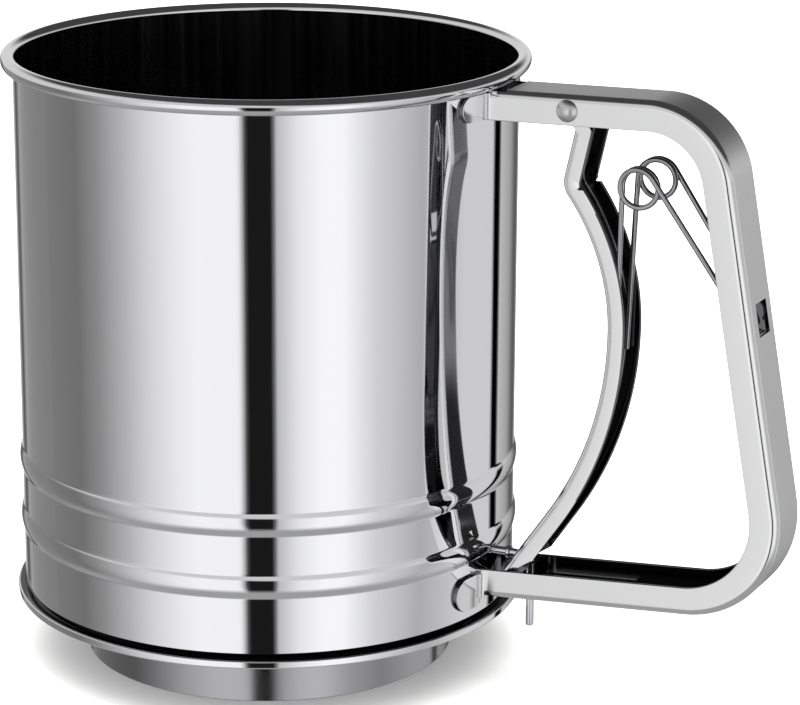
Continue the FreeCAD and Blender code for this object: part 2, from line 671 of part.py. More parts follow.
def make_handle():
    """The handle: one bent channel with its slots, and ears at both ends."""
    body = new_body("handle_channel")
    route = new_sketch(body, "XZ", name="route")
    handle_route(route)
    section = new_sketch(body, "YZ", size.handle_start, "section")
    add_outline(section, *channel_outline(size.handle_width, size.handle_depth, size.handle_sheet,
                                          size.handle_bend, size.upper_start_height, -1))
    channel = body.newObject("PartDesign::AdditivePipe", "handle_bent_channel")
    channel.Profile = section
    channel.Spine = route
    inner = size.handle_width / 2 - size.handle_sheet
    hollow = new_sketch(body, "XY", size.curl_height + 10, "cup_clearance")
    add_circle(hollow, (ZERO, ZERO), size.cup_clear)
    pocket(body, hollow, size.curl_height + 20)
    upper = new_sketch(body, "XY", size.curl_height + 1, "upper_web_end")
    add_outline(upper, rectangle(size.handle_start - 4, size.upper_web_end, -inner, inner))
    pocket(body, upper, as_size(10))
    lower = new_sketch(body, "XY", size.lower_end_height + 8, "lower_web_end")
    add_outline(lower, rectangle(size.handle_start - 4, size.lower_web_end, -inner, inner))
    pocket(body, lower, as_size(12))
    slot = new_sketch(body, "YZ", size.lower_corner_reach, "spring_slot")
    half = size.spring_slot_width / 2
    add_outline(slot, rectangle(-half, half, size.spring_slot_low, size.spring_slot_high))
    pocket(body, slot, as_size(13))
    leg = new_sketch(body, "XY", size.lower_end_height + 6, "leg_slot")
    half = size.leg_slot_width / 2
    add_outline(leg, rectangle(size.leg_slot_start, size.leg_slot_end, -half, half))
    pocket(body, leg, as_size(9))
    rivet = new_sketch(body, "XZ", name="pivot_hole")
    add_circle(rivet, (size.pivot_reach, size.pivot_height), size.rivet_radius)
    pocket(body, rivet, size.handle_width + 4, both_ways=True)
    tab = new_sketch(body, "XZ", name="spring_tab")
    edge = size.spring_slot_low
    add_outline(tab, [
        (size.bridge_reach + 1.9, edge - 1.5), (size.bridge_reach + 1.5, edge + 0.1),
        (size.bridge_reach - 1.6, edge + 1.0), (size.bridge_reach - 1.8, edge + 0.3),
        (size.bridge_reach + 0.8, edge - 0.6), (size.bridge_reach + 1.1, edge - 1.5),
    ])
    pad(body, tab, size.spring_tab_width, both_ways=True)
    handle = doc.addObject("Part::MultiFuse", "handle_whole")
    handle.Shapes = [body, make_ears()]
    handle.Refine = True
    handle.Label = "handle"
    return handle


# ---------------------------------------------------------------- trigger and pivot

def trigger_route(sketch):
    """The line of the trigger's front: a leaning top, a kink, a long bulge towards the grip and a straight
    tail, all tangent to each other."""
    lean, tail = math.radians(size.trigger_lean.value), math.radians(size.tail_lean.value)
    top = Vector(size.trigger_top_reach.value, size.trigger_top.value, 0)
    down = Vector(-math.sin(lean), -math.cos(lean), 0)
    grip_side = Vector(math.cos(lean), -math.sin(lean), 0)
    bulge = Vector(size.bulge_reach.value, size.bulge_height.value, 0)
    upper, lower, kink = (s.value for s in (size.bulge_upper_round, size.bulge_lower_round, size.kink_round))
    upper_centre, lower_centre = bulge - Vector(upper, 0, 0), bulge - Vector(lower, 0, 0)
    start = top + grip_side * kink - upper_centre
    half = start.dot(down)
    run = -half - math.sqrt(half ** 2 - start.Length ** 2 + (upper + kink) ** 2)
    kink_centre = top + grip_side * kink + down * run
    kink_start = kink_centre - grip_side * kink
    kink_end = upper_centre + (kink_centre - upper_centre).normalize() * upper
    tail_start = lower_centre + Vector(math.cos(tail), -math.sin(tail), 0) * lower
    drop = (tail_start.y - size.tail_height.value) / math.cos(tail)
    tail_end = tail_start + Vector(-math.sin(tail), -math.cos(tail), 0) * drop

    straight = sketch.addGeometry(Part.LineSegment(top, kink_start))
    turn = sketch.addGeometry(arc_between(kink_start, kink_end, kink, 1))
    above = sketch.addGeometry(arc_between(kink_end, bulge, upper, -1))
    below = sketch.addGeometry(arc_between(bulge, tail_start, lower, -1))
    end = sketch.addGeometry(Part.LineSegment(tail_start, tail_end))
    for joint in ((straight, 2, turn, 1), (turn, 2, above, 2), (above, 1, below, 2), (below, 1, end, 1)):
        sketch.addConstraint(Sketcher.Constraint("Tangent", *joint))
    for arc, bend in ((turn, size.kink_round), (above, size.bulge_upper_round), (below, size.bulge_lower_round)):
        bind(sketch, "Radius", (arc,), bend)
    fix_point(sketch, (straight, 1), (size.trigger_top_reach, size.trigger_top))
    fix_point(sketch, (above, 1), (size.bulge_reach, size.bulge_height))
    sketch.addConstraint(Sketcher.Constraint("Horizontal", above, 3, above, 1))
    fix_along(sketch, (end, 2), "DistanceY", size.tail_height)
    bind_slope(sketch, straight, size.trigger_lean)
    bind_slope(sketch, end, size.tail_lean)
    return kink_start, kink_end


def make_trigger():
    """The trigger: one bent channel with ears round the pivot, a hole for the rod and a slanted end."""
    body = new_body("trigger")
    route = new_sketch(body, "XZ", name="route")
    kink_start, kink_end = trigger_route(route)
    section = new_sketch(body, "XY", size.trigger_top, "section")
    corners, arcs = channel_outline(size.trigger_width, size.trigger_depth, size.trigger_sheet,
                                    size.trigger_bend, size.trigger_top_reach, 1)
    turned = {number: (bend, -turn, large) for number, (bend, turn, large) in arcs.items()}
    add_outline(section, [(along, across) for across, along in corners], turned)
    channel = body.newObject("PartDesign::AdditivePipe", "trigger_bent_channel")
    channel.Profile = section
    channel.Spine = route
    low, tip = size.trigger_top - 0.6, size.tongue_radius
    reach, level = size.pivot_reach, size.pivot_height
    for name, lift in (("near_ear", size.trigger_width / 2 - size.trigger_sheet),
                       ("far_ear", -(size.trigger_width / 2))):
        ear = new_sketch(body, "XZ", lift, name)
        add_outline(ear, [
            (reach + tip, level), (reach - tip, level), (size.trigger_top_reach - 0.1, low + 0.4),
            (size.trigger_top_reach + 1.2, low - 1), (size.trigger_top_reach + size.trigger_depth - 0.2, low),
        ], {0: (tip, 1, False)})
        pad(body, ear, size.trigger_sheet)
    pivot = new_sketch(body, "XZ", name="pivot_hole")
    add_circle(pivot, (reach, level), size.rivet_radius + size.running_gap)
    pocket(body, pivot, size.trigger_width + 2, both_ways=True)
    notch = new_sketch(body, "XZ", name="kink_notch")
    middle = (kink_start + kink_end) * 0.5
    apex = (as_size(round(middle.x + 2.75, 3)), as_size(round(middle.y - 0.35, 3)))
    add_outline(notch, [apex, (apex[0] + 4, apex[1] + 0.1), (apex[0] + 2.4, apex[1] + 3.7)])
    pocket(body, notch, size.trigger_width + 2, both_ways=True)
    cut = new_sketch(body, "XZ", name="slanted_end")
    end = (size.rod_leg + 4.6, size.tail_height + 4.2)
    add_outline(cut, [(end[0] - 10, end[1] - 6.6), (end[0] - 2, end[1] - 9), (end[0] + 6, end[1] - 3),
                      (end[0] + 1.2, end[1] + 0.8)])
    pocket(body, cut, size.trigger_width + 2, both_ways=True)
    hole = new_sketch(body, "XZ", name="rod_hole")
    add_outline(hole, rectangle(size.rod_leg - 8, size.rod_leg + 1.8, size.trigger_slot_low,
                                size.trigger_slot_high))
    pocket(body, hole, size.trigger_slot_width, both_ways=True)
    return body


def make_pivot():
    """The rivet through the handle and the trigger, and the spacers that centre the trigger on it."""
    half = size.handle_width / 2
    top = half + size.rivet_proud
    head, shank, edge = size.rivet_head, size.rivet_radius, size.rivet_proud / 2
    rivet = revolved("pivot_rivet", [
        (ZERO, -top), (head - edge, -top), (head, -(half + edge)), (head, -half), (shank, -half),
        (shank, half), (head, half), (head, half + edge), (head - edge, top), (ZERO, top),
    ], {1: (edge, 1, False), 7: (edge, 1, False)})
    start = size.trigger_width / 2 + 0.1
    spacers = []
    for name, low in (("pivot_spacer_near", start), ("pivot_spacer_far", -(start + size.spacer_thickness))):
        spacers.append(washer(name, low, size.spacer_thickness, size.rivet_radius, size.spacer_radius))
    for piece in [rivet] + spacers:
        piece.Placement = Placement(Vector(), Rotation(Vector(1, 0, 0), 90))
        piece.setExpression("Placement.Base.x", size.pivot_reach.text)
        piece.setExpression("Placement.Base.z", size.pivot_height.text)


# ---------------------------------------------------------------- rod and spring

def make_rod():
    """The drive rod: a hanging leg in the handle, a straight run into the cup, a jog to one side and a hooked
    end in the crank's slot, with the clip that keeps it there."""
    level, hook, aside = size.rod_height.value, size.rod_hook.value, -size.rod_offset.value
    straight_end = 30.0
    points = [
        Vector(size.rod_leg.value, 0, size.rod_foot.value),
        Vector(size.rod_leg.value, 0, level),
        Vector(straight_end, 0, level),
        Vector(straight_end - 15, aside, level),
        Vector(hook, aside, level),
        Vector(hook, aside, size.rod_hook_top.value),
    ]
    rod = round_bar(wire_path(points, size.rod_bend.value), size.rod_radius.value)
    stop = Part.makeCylinder(size.rod_stop.value, 0.7, Vector(53.6, 0, level), Vector(1, 0, 0))
    shaped("drive_rod", rod.fuse(stop))
    clip_low = size.crank_bottom + size.crank_thickness + 0.35
    washer("crank_clip", clip_low, size.clip_thickness, size.rod_radius, size.clip_radius,
           (size.rod_hook, -size.rod_offset))


def make_spring():
    """The spring: two coils side by side, free legs in the trigger and a bridge in the handle's slot. It is one
    wire, whose turns are short straight runs with mitred joints. The legs run side by side into the grip and
    draw together there, to pass through the slot."""
    wire, radius = size.spring_wire.value, size.coil_radius.value
    centre = Vector(size.coil_reach.value, size.coil_inner.value, size.coil_height.value)
    tip = Vector(size.spring_tip_reach.value, size.spring_tip_side.value, size.spring_tip_height.value)
    bridge = Vector(size.bridge_reach.value, size.bridge_half.value, size.bridge_height.value)

    def touch(point, side):
        """The angle at which a line from the point touches the coil."""
        line = point - centre
        return math.atan2(line.z, line.x) + side * math.acos(radius / math.hypot(line.x, line.z))

    def on_coil(angle, along):
        """The point of the coil's centreline at that angle, that far along its axis."""
        return centre + Vector(radius * math.cos(angle), along, radius * math.sin(angle))

    enter, leave = touch(tip, -1) % (2 * math.pi), touch(bridge, 1)
    turn = enter - leave + 2 * math.pi
    steps = round(turn / math.radians(size.coil_step.value))
    coil = [on_coil(enter - turn * n / steps, size.coil_pitch.value * turn * n / steps / (2 * math.pi))
            for n in range(steps + 1)]
    leg = bridge - coil[-1]
    bend = coil[-1] + leg * ((size.leg_bend_reach.value - coil[-1].x) / leg.x)
    bend.y = size.leg_bend_side.value
    half = [tip] + coil + [bend, bridge]
    points = half + [Vector(p.x, -p.y, p.z) for p in reversed(half)]
    shaped("return_spring", mitred_bar(points, wire))


# ---------------------------------------------------------------- build, check and export

NODES = [
    "cup_body", "base_collar", "mesh_screen", "screen_ring", "cross_bar", "axle_pin", "thrust_washer",
    "top_washer", "axle_cap", "agitator_hub", "agitator_arm_1", "agitator_arm_2", "agitator_arm_3",
    "agitator_arm_4", "crank_arm", "crank_clip", "drive_rod", "handle", "trigger", "pivot_rivet",
    "pivot_spacer_near", "pivot_spacer_far", "return_spring",
]


def check_document():
    """Stops if any object of the document failed to compute."""
    for thing in doc.Objects:
        bad = [state for state in thing.State if state in ("Invalid", "Error")]
        if bad:
            raise RuntimeError(f"{thing.Label} is {bad}: {thing.getStatusString()}")


def export():
    """Writes each piece to its own STEP file, once its shape is found whole."""
    os.makedirs("parts", exist_ok=True)
    pieces = {thing.Label: thing for thing in doc.Objects}
    for name in NODES:
        shape = pieces[name].Shape
        if shape.isNull() or not shape.isValid() or shape.Volume <= 0 or not shape.Solids:
            raise RuntimeError(f"{name} has no valid solid")
        shape.exportStep(f"parts/{name}.step")
        box = shape.BoundBox
        print(f"{name}: {len(shape.Solids)} solid, {shape.Volume:.1f} mm3, "
              f"x {box.XMin:.2f} {box.XMax:.2f}, y {box.YMin:.2f} {box.YMax:.2f}, z {box.ZMin:.2f} {box.ZMax:.2f}")


make_cup()
make_collar()
make_screen()
make_axle()
make_agitator()
make_handle()
make_trigger()
make_pivot()
make_rod()
make_spring()
doc.recompute()
check_document()
export()
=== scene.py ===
"""The looks of a squeeze-handle flour sifter in stainless steel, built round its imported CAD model.

Fields and points are in millimetres and the finished meshes in metres. +Z is up and +X points out through the
handle, as in the CAD model.
"""
import logging
import math
from dataclasses import dataclass
from enum import Enum
from typing import Iterable, Sequence

import bmesh
import bpy
from mathutils import Matrix, Vector


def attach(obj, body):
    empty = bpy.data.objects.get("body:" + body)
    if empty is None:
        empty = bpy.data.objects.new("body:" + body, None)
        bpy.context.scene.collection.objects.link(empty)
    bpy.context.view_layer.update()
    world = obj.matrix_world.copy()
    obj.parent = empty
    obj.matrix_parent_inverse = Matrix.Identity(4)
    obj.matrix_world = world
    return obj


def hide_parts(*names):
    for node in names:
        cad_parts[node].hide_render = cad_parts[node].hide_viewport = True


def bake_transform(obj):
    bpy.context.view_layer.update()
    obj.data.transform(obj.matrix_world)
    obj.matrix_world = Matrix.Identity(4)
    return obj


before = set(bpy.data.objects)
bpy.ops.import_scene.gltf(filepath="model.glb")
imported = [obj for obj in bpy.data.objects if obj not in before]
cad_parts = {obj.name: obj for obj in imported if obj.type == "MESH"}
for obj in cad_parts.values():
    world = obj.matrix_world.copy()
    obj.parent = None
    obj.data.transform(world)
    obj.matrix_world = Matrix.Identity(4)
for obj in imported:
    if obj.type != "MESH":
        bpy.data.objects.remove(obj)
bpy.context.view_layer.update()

logging.basicConfig(level=logging.INFO, format="%(message)s")
log = logging.getLogger("sifter")

MM = 0.001
END_ROUND = 0.35  # how far the end of a wire is broken, as a share of its radius
UP = Vector((0, 0, 1))
TURNED = (0, -1, 0)  # an axis about which a positive angle is counterclockwise with +X right and +Z up


class Slot(Enum):
    """The record's material slots."""

    CUP = "cup_steel"
    HANDLE = "handle_steel"
    TRIGGER = "trigger_steel"
    RIVET = "rivet_steel"
    WIRE = "wire_steel"
    SPRING = "spring_steel"
    MESH = "mesh_steel"
    LATHE = "turned_steel"


class Body(Enum):
    """The bodies that move."""

    CUP = "cup"
    TRIGGER = "trigger"
    ROD = "rod"
    AGITATOR = "agitator"


# ---------------------------------------------------------------- finishes

def linear(hex_colour: str) -> tuple[float, float, float, float]:
    """Turns an sRGB colour to linear.

    Args:
        hex_colour: the colour as "#RRGGBB".

    Returns:
        Red, green, blue and alpha, each from 0 to 1.
    """
    parts = [int(hex_colour[i:i + 2], 16) / 255 for i in (1, 3, 5)]
    red, green, blue = [p / 12.92 if p <= 0.04045 else ((p + 0.055) / 1.055) ** 2.4 for p in parts]
    return red, green, blue, 1.0


def add_node(tree: bpy.types.NodeTree, kind: str, settings: dict | None = None,
             inputs: dict | None = None) -> bpy.types.Node:
    """Adds one node to a tree.

    Args:
        tree: the node tree.
        kind: the node's type name.
        settings: values of the node's own properties.
        inputs: for each input's name or number, its value or the output socket that feeds it.

    Returns:
        The new node.
    """
    node = tree.nodes.new(kind)
    for name, value in (settings or {}).items():
        setattr(node, name, value)
    for name, value in (inputs or {}).items():
        if isinstance(value, bpy.types.NodeSocket):
            tree.links.new(value, node.inputs[name])
        else:
            node.inputs[name].default_value = value
    return node


@dataclass(frozen=True)
class SteelFinish:
    """A stainless steel surface: how bright it is, and the marks that its making left."""

    name: str
    colour: str
    roughness: float
    roughness_spread: float
    mark_mm: tuple[float, float, float]
    mark_depth_mm: float
    sway_mm: float = 0.0
    sway_depth_mm: float = 0.0

    def material(self) -> bpy.types.Material:
        """Makes the finish as a node material, or finds it if it is there already.

        Returns:
            The material.
        """
        made = bpy.data.materials.get(self.name)
        if made:
            return made
        made = bpy.data.materials.new(self.name)
        made.use_nodes = True
        tree = made.node_tree
        tree.nodes.clear()
        place = add_node(tree, "ShaderNodeTexCoord")
        marks_at = add_node(tree, "ShaderNodeMapping", inputs={
            "Vector": place.outputs["Object"], "Scale": [1 / (size * MM) for size in self.mark_mm]})
        marks = add_node(tree, "ShaderNodeTexNoise", inputs={
            "Vector": marks_at.outputs["Vector"], "Scale": 1.0, "Detail": 3.0, "Roughness": 0.55})
        gloss = add_node(tree, "ShaderNodeMapRange", inputs={
            "Value": marks.outputs["Fac"], "From Min": 0.3, "From Max": 0.7,
            "To Min": self.roughness - self.roughness_spread, "To Max": self.roughness + self.roughness_spread})
        relief = add_node(tree, "ShaderNodeBump", inputs={
            "Strength": 1.0, "Distance": self.mark_depth_mm * MM, "Height": marks.outputs["Fac"]})
        if self.sway_depth_mm:
            sway = add_node(tree, "ShaderNodeTexNoise", inputs={
                "Vector": place.outputs["Object"], "Scale": 1 / (self.sway_mm * MM), "Detail": 1.0})
            relief = add_node(tree, "ShaderNodeBump", inputs={
                "Strength": 1.0, "Distance": self.sway_depth_mm * MM, "Height": sway.outputs["Fac"],
                "Normal": relief.outputs["Normal"]})
        steel = add_node(tree, "ShaderNodeBsdfPrincipled", inputs={
            "Base Color": linear(self.colour), "Metallic": 1.0, "Roughness": gloss.outputs["Result"],
            "Normal": relief.outputs["Normal"]})
        add_node(tree, "ShaderNodeOutputMaterial", inputs={"Surface": steel.outputs["BSDF"]})
        return made


# Deep-drawn sheet buffed to a mirror: sharp reflections that sway a little with the sheet.
MIRROR = SteelFinish("mirror_buffed_stainless_sheet", "#E4E4E6", 0.035, 0.015, (0.9, 0.9, 14.0), 0.0002, 26.0, 0.012)
# The cup's inside keeps its draw lines, which run up the wall and dull the reflections a little. Its darker colour
# is painted shade for the dim inside of the cup.
DRAWN_WITH_PAINTED_SHADE = SteelFinish("drawn_stainless_inside_with_painted_shade", "#A2A2A4", 0.12, 0.05, (1.6, 1.6, 60.0), 0.0012)
# The collar and the trigger's back are left as they were rolled, and only give soft, greyer reflections.
ROLLED = SteelFinish("as_rolled_stainless_sheet", "#A6A6A8", 0.15, 0.02, (0.9, 0.9, 9.0), 0.0003)
# Strip buffed bright after bending, with reflections a little softer than the cup's.
SATIN = SteelFinish("buffed_stainless_strip", "#E2E2E3", 0.13, 0.02, (0.5, 0.5, 6.0), 0.0002, 22.0, 0.02)
# The back of the handle, where the fingers rest, is brushed after that.
BRUSHED = SteelFinish("brushed_stainless_strip", "#EAEAEB", 0.38, 0.03, (0.4, 0.4, 4.0), 0.0004, 30.0, 0.02)
# Thinner strip with a brighter rolled finish.
BRIGHT = SteelFinish("bright_rolled_stainless_strip", "#E2E2E3", 0.09, 0.02, (0.8, 0.8, 6.0), 0.0002, 16.0, 0.015)
# Painted shade: a dark glossy colour for the insides of the channels, the cut edges and the recesses of the seam,
# standing in for the shade and dark reflections there.
PAINTED_SHADE = SteelFinish("painted_shade_stainless_strip", "#69696B", 0.10, 0.03, (0.8, 0.8, 6.0), 0.0004, 12.0, 0.01)
# A headed rivet, tumbled with the handle.
TUMBLED = SteelFinish("tumbled_stainless_rivet", "#D2D2D3", 0.33, 0.04, (0.3, 0.3, 0.3), 0.001)
# Wire drawn through a die, with faint lines along it.
WIRE = SteelFinish("bright_drawn_stainless_wire", "#D6D6D8", 0.10, 0.03, (0.2, 0.2, 3.0), 0.0004)
# Painted shade: the spring wire gets a darker colour than the other wire, which stands in for the dark reflections
# along its coils.
SPRING = SteelFinish("spring_wire_with_painted_shade", "#A2A2A4", 0.05, 0.02, (0.3, 0.3, 2.0), 0.0003)
# Woven cloth of fine wire, duller than the sheet round it.
WOVEN = SteelFinish("woven_stainless_cloth", "#B8B8BA", 0.3, 0.06, (0.3, 0.3, 0.3), 0.001)
# Small pieces off a lathe.
LATHE = SteelFinish("turned_stainless", "#CACACC", 0.22, 0.05, (0.12, 0.12, 1.5), 0.0012)


# ---------------------------------------------------------------- mesh making

def only(parts: Iterable, kind: type) -> list:
    """The parts of one kind, such as the vertices among what an operator made."""
    return [part for part in parts if isinstance(part, kind)]


def round_off(mesh: bmesh.types.BMesh, parts: Sequence, radius: float, segments: int, affect: str = "EDGES") -> None:
    """Rounds edges, or the corners of a flat face.

    Args:
        mesh: the mesh.
        parts: the edges or vertices to round.
        radius: how far back the rounding starts.
        segments: the number of steps across it.
        affect: "EDGES" or "VERTICES".
    """
    bmesh.ops.bevel(mesh, geom=parts, offset=radius, segments=segments, profile=0.5, affect=affect, material=-1)


def extrude(mesh: bmesh.types.BMesh, faces: Sequence[bmesh.types.BMFace],
            step: Sequence[float]) -> list[bmesh.types.BMFace]:
    """Carries faces along a vector and leaves walls behind them.

    Args:
        mesh: the mesh.
        faces: the faces to carry.
        step: how far to carry them.

    Returns:
        The faces in their new place.
    """
    grown = bmesh.ops.extrude_face_region(mesh, geom=faces)["geom"]
    bmesh.ops.translate(mesh, verts=only(grown, bmesh.types.BMVert), vec=step)
    return only(grown, bmesh.types.BMFace)


def cylinder(mesh: bmesh.types.BMesh, middle: Sequence[float], turned_about: str, radius: float, length: float,
             sides: int = 24) -> list[bmesh.types.BMVert]:
    """Adds a cylinder that lies along X or Y.

    Args:
        mesh: the mesh to add it to.
        middle: its middle.
        turned_about: "Y" for one along X, and "X" for one along Y.
        radius: its radius.
        length: its length.
        sides: the number of its sides.

    Returns:
        Its vertices.
    """
    lying = Matrix.Translation(middle) @ Matrix.Rotation(math.pi / 2, 4, turned_about)
    return bmesh.ops.create_cone(mesh, cap_ends=True, segments=sides, radius1=radius, radius2=radius, depth=length,
                                 matrix=lying)["verts"]


class Pen:
    """Draws a line of vertices and edges in the XZ plane, with bmesh operators, from millimetres."""

    def __init__(self, mesh: bmesh.types.BMesh, x: float, z: float) -> None:
        """Starts the line.

        Args:
            mesh: the mesh to draw in.
            x: the starting point's X.
            z: the starting point's Z.
        """
        self.mesh = mesh
        self.first = self.tip = mesh.verts.new((x, 0, z))

    def line(self, x: float, z: float) -> "Pen":
        """Draws straight to a point.

        Args:
            x: the point's X.
            z: the point's Z.

        Returns:
            The pen.
        """
        grown = bmesh.ops.extrude_vert_indiv(self.mesh, verts=[self.tip])
        self.tip = grown["verts"][0]
        self.tip.co = Vector((x, 0, z))
        return self

    def arc(self, x: float, z: float, degrees: float, steps: int) -> "Pen":
        """Draws an arc about a centre.

        Args:
            x: the centre's X.
            z: the centre's Z.
            degrees: how far it turns, counterclockwise where positive.
            steps: the number of steps.

        Returns:
            The pen.
        """
        grown = bmesh.ops.spin(self.mesh, geom=[self.tip], cent=(x, 0, z), axis=TURNED,
                               angle=math.radians(degrees), steps=steps)
        self.tip = only(grown["geom_last"], bmesh.types.BMVert)[0]
        return self

    def close(self) -> None:
        """Joins the end of the line to its start."""
        self.mesh.edges.new((self.tip, self.first))


class Sweep:
    """Carries a face along straight runs and round bends, and leaves a closed bar behind it."""

    def __init__(self, mesh: bmesh.types.BMesh, face: bmesh.types.BMFace) -> None:
        """Starts from the face.

        Args:
            mesh: the mesh that the face is in.
            face: the section, which stays as the cap at the start.
        """
        self.mesh = mesh
        self.edges = list(face.edges)

    def verts(self) -> list[bmesh.types.BMVert]:
        """The vertices of the section's present place."""
        return list({vert for edge in self.edges for vert in edge.verts})

    def run(self, step: Vector) -> "Sweep":
        """Carries the section straight on.

        Args:
            step: how far and in which direction.

        Returns:
            The sweep.
        """
        grown = bmesh.ops.extrude_edge_only(self.mesh, edges=self.edges)["geom"]
        self.edges = only(grown, bmesh.types.BMEdge)
        bmesh.ops.translate(self.mesh, verts=self.verts(), vec=step)
        return self

    def bend(self, centre: Vector, axis: Vector, angle: float, steps: int, climb: Vector | None = None) -> "Sweep":
        """Carries the section round a bend.

        Args:
            centre: the bend's centre.
            axis: the direction about which it turns.
            angle: how far it turns, in radians.
            steps: the number of steps.
            climb: how far it moves along in each step, for a coil.

        Returns:
            The sweep.
        """
        grown = bmesh.ops.spin(self.mesh, geom=self.verts() + self.edges, cent=centre, axis=axis, angle=angle,
                               steps=steps, dvec=climb or Vector())
        self.edges = only(grown["geom_last"], bmesh.types.BMEdge)
        return self

    def turn(self, here: Vector, corner: Vector, after: Vector, radius: float, steps: int = 0,
             runs: int = 1) -> Vector:
        """Carries the section to a corner and bends it there.

        Args:
            here: where the section is.
            corner: the corner.
            after: the point that it heads for next.
            radius: the bend's radius.
            steps: the number of steps in the bend, or 0 for one to every 9 degrees.
            runs: the number of equal runs up to the bend.

        Returns:
            Where the bend ends.
        """
        heading, ahead = (corner - here).normalized(), (after - corner).normalized()
        angle = heading.angle(ahead)
        axis = heading.cross(ahead).normalized()
        back = radius * math.tan(angle / 2)
        enter = corner - heading * back
        for _ in range(runs):
            self.run((enter - here) / runs)
        self.bend(enter + axis.cross(heading) * radius, axis, angle, steps or max(4, round(math.degrees(angle) / 9)))
        return corner + ahead * back

    def cap(self) -> bmesh.types.BMFace:
        """Closes the end of the bar with a face."""
        return bmesh.ops.contextual_create(self.mesh, geom=self.edges)["faces"][0]


def revolve(mesh: bmesh.types.BMesh, steps: int) -> None:
    """Turns every edge drawn so far into a surface about the Z axis.

    Args:
        mesh: the mesh.
        steps: the number of steps in the full turn.
    """
    bmesh.ops.spin(mesh, geom=mesh.verts[:] + mesh.edges[:], cent=(0, 0, 0), axis=UP, angle=math.tau, steps=steps,
                   use_merge=True)
    bmesh.ops.remove_doubles(mesh, verts=mesh.verts[:], dist=1e-4)
    bmesh.ops.recalc_face_normals(mesh, faces=mesh.faces[:])


def wire_end(mesh: bmesh.types.BMesh, at: Vector, heading: Vector, radius: float,
             sides: int = 20) -> bmesh.types.BMFace:
    """Makes the round section that a wire starts from.

    Args:
        mesh: the mesh to make it in.
        at: its middle.
        heading: the direction of the wire.
        radius: the wire's radius.
        sides: the number of its sides.

    Returns:
        The face of the section.
    """
    facing = Matrix.Translation(at) @ heading.to_track_quat("Z", "Y").to_matrix().to_4x4()
    ring = bmesh.ops.create_circle(mesh, cap_ends=True, segments=sides, radius=radius, matrix=facing)["verts"]
    return ring[0].link_faces[0]


def bent_wire(mesh: bmesh.types.BMesh, points: Sequence[Vector], bend: float, radius: float) -> None:
    """Adds a round wire through the points, with its corners bent to a radius and its ends broken.

    Args:
        mesh: the mesh to add it to.
        points: the corners of its centreline.
        bend: the radius of each bend.
        radius: the wire's own radius.
    """
    before = set(mesh.edges)
    face = wire_end(mesh, points[0], (points[1] - points[0]).normalized(), radius)
    ends = list(face.edges)
    sweep = Sweep(mesh, face)
    here = points[0]
    for corner, after in zip(points[1:], points[2:]):
        here = sweep.turn(here, corner, after, bend)
    sweep.run(points[-1] - here)
    sweep.cap()
    ends += sweep.edges
    round_off(mesh, ends, radius * END_ROUND, 3)
    added = {face for edge in set(mesh.edges) - before for face in edge.link_faces}
    bmesh.ops.recalc_face_normals(mesh, faces=list(added))


def mesh_object(name: str, mesh: bmesh.types.BMesh, sharp_deg: float = 40.0) -> bpy.types.Object:
    """Turns a finished mesh in millimetres into a scene object in metres, shaded smooth up to an angle.

    Args:
        name: the object's name.
        mesh: the mesh, which is freed.
        sharp_deg: edges that turn by more than this stay sharp.

    Returns:
        The object, at the origin.
    """
    bmesh.ops.scale(mesh, vec=(MM, MM, MM), verts=mesh.verts[:])
    for face in mesh.faces:
        face.smooth = True
    data = bpy.data.meshes.new(name)
    mesh.to_mesh(data)
    mesh.free()
    data.set_sharp_from_angle(angle=math.radians(sharp_deg))
    piece = bpy.data.objects.new(name, data)
    bpy.context.scene.collection.objects.link(piece)
    return piece


def cut_away(piece: bpy.types.Object, cutters: bmesh.types.BMesh) -> None:
    """Cuts closed shapes out of a piece.

    Args:
        piece: the piece to cut.
        cutters: the shapes to take away, in millimetres, which are freed.
    """
    tool = mesh_object("cutters", cutters)
    cut = piece.modifiers.new("cut", "BOOLEAN")
    cut.object, cut.operation, cut.solver = tool, "DIFFERENCE", "EXACT"
    apply_modifiers(piece)
    bpy.data.objects.remove(tool)


def fuse(piece: bpy.types.Object, other: bpy.types.Object) -> None:
    """Fuses another object into a piece, and removes it.

    Args:
        piece: the piece that stays.
        other: the object that goes into it.
    """
    joint = piece.modifiers.new("fuse", "BOOLEAN")
    joint.object, joint.operation, joint.solver = other, "UNION", "EXACT"
    apply_modifiers(piece)
    bpy.data.objects.remove(other)


def apply_modifiers(piece: bpy.types.Object) -> None:
    """Replaces the mesh of a piece by what its modifiers make of it.

    Args:
        piece: the piece.
    """
    graph = bpy.context.evaluated_depsgraph_get()
    made = bpy.data.meshes.new_from_object(piece.evaluated_get(graph))
    piece.modifiers.clear()
    piece.data = made


def block(mesh: bmesh.types.BMesh, low: Sequence[float], high: Sequence[float], corner: float = 0.0) -> None:
    """Adds a box between two corners, with its edges along Y rounded.

    Args:
        mesh: the mesh to add it to.
        low: the lowest corner.
        high: the highest corner.
        corner: the radius of the edges along Y.
    """
    middle = [(a + b) / 2 for a, b in zip(low, high)]
    sizes = [b - a for a, b in zip(low, high)]
    matrix = Matrix.Translation(middle) @ Matrix.Diagonal((*sizes, 1.0))
    verts = bmesh.ops.create_cube(mesh, size=1.0, matrix=matrix)["verts"]
    if corner:
        edges = {edge for vert in verts for edge in vert.link_edges
                 if abs(edge.verts[0].co.y - edge.verts[1].co.y) > 0.5 * sizes[1]}
        round_off(mesh, list(edges), corner, 6)


def prism(mesh: bmesh.types.BMesh, corners: Iterable[tuple[float, float]], half_width: float) -> None:
    """Adds a block with an outline in the XZ plane, to both sides of that plane.

    Args:
        mesh: the mesh to add it to.
        corners: the outline's corners as X and Z.
        half_width: how far it goes to each side.
    """
    face = mesh.faces.new([mesh.verts.new((x, -half_width, z)) for x, z in corners])
    extrude(mesh, [face], (0, 2 * half_width, 0))
    bmesh.ops.recalc_face_normals(mesh, faces=mesh.faces[:])


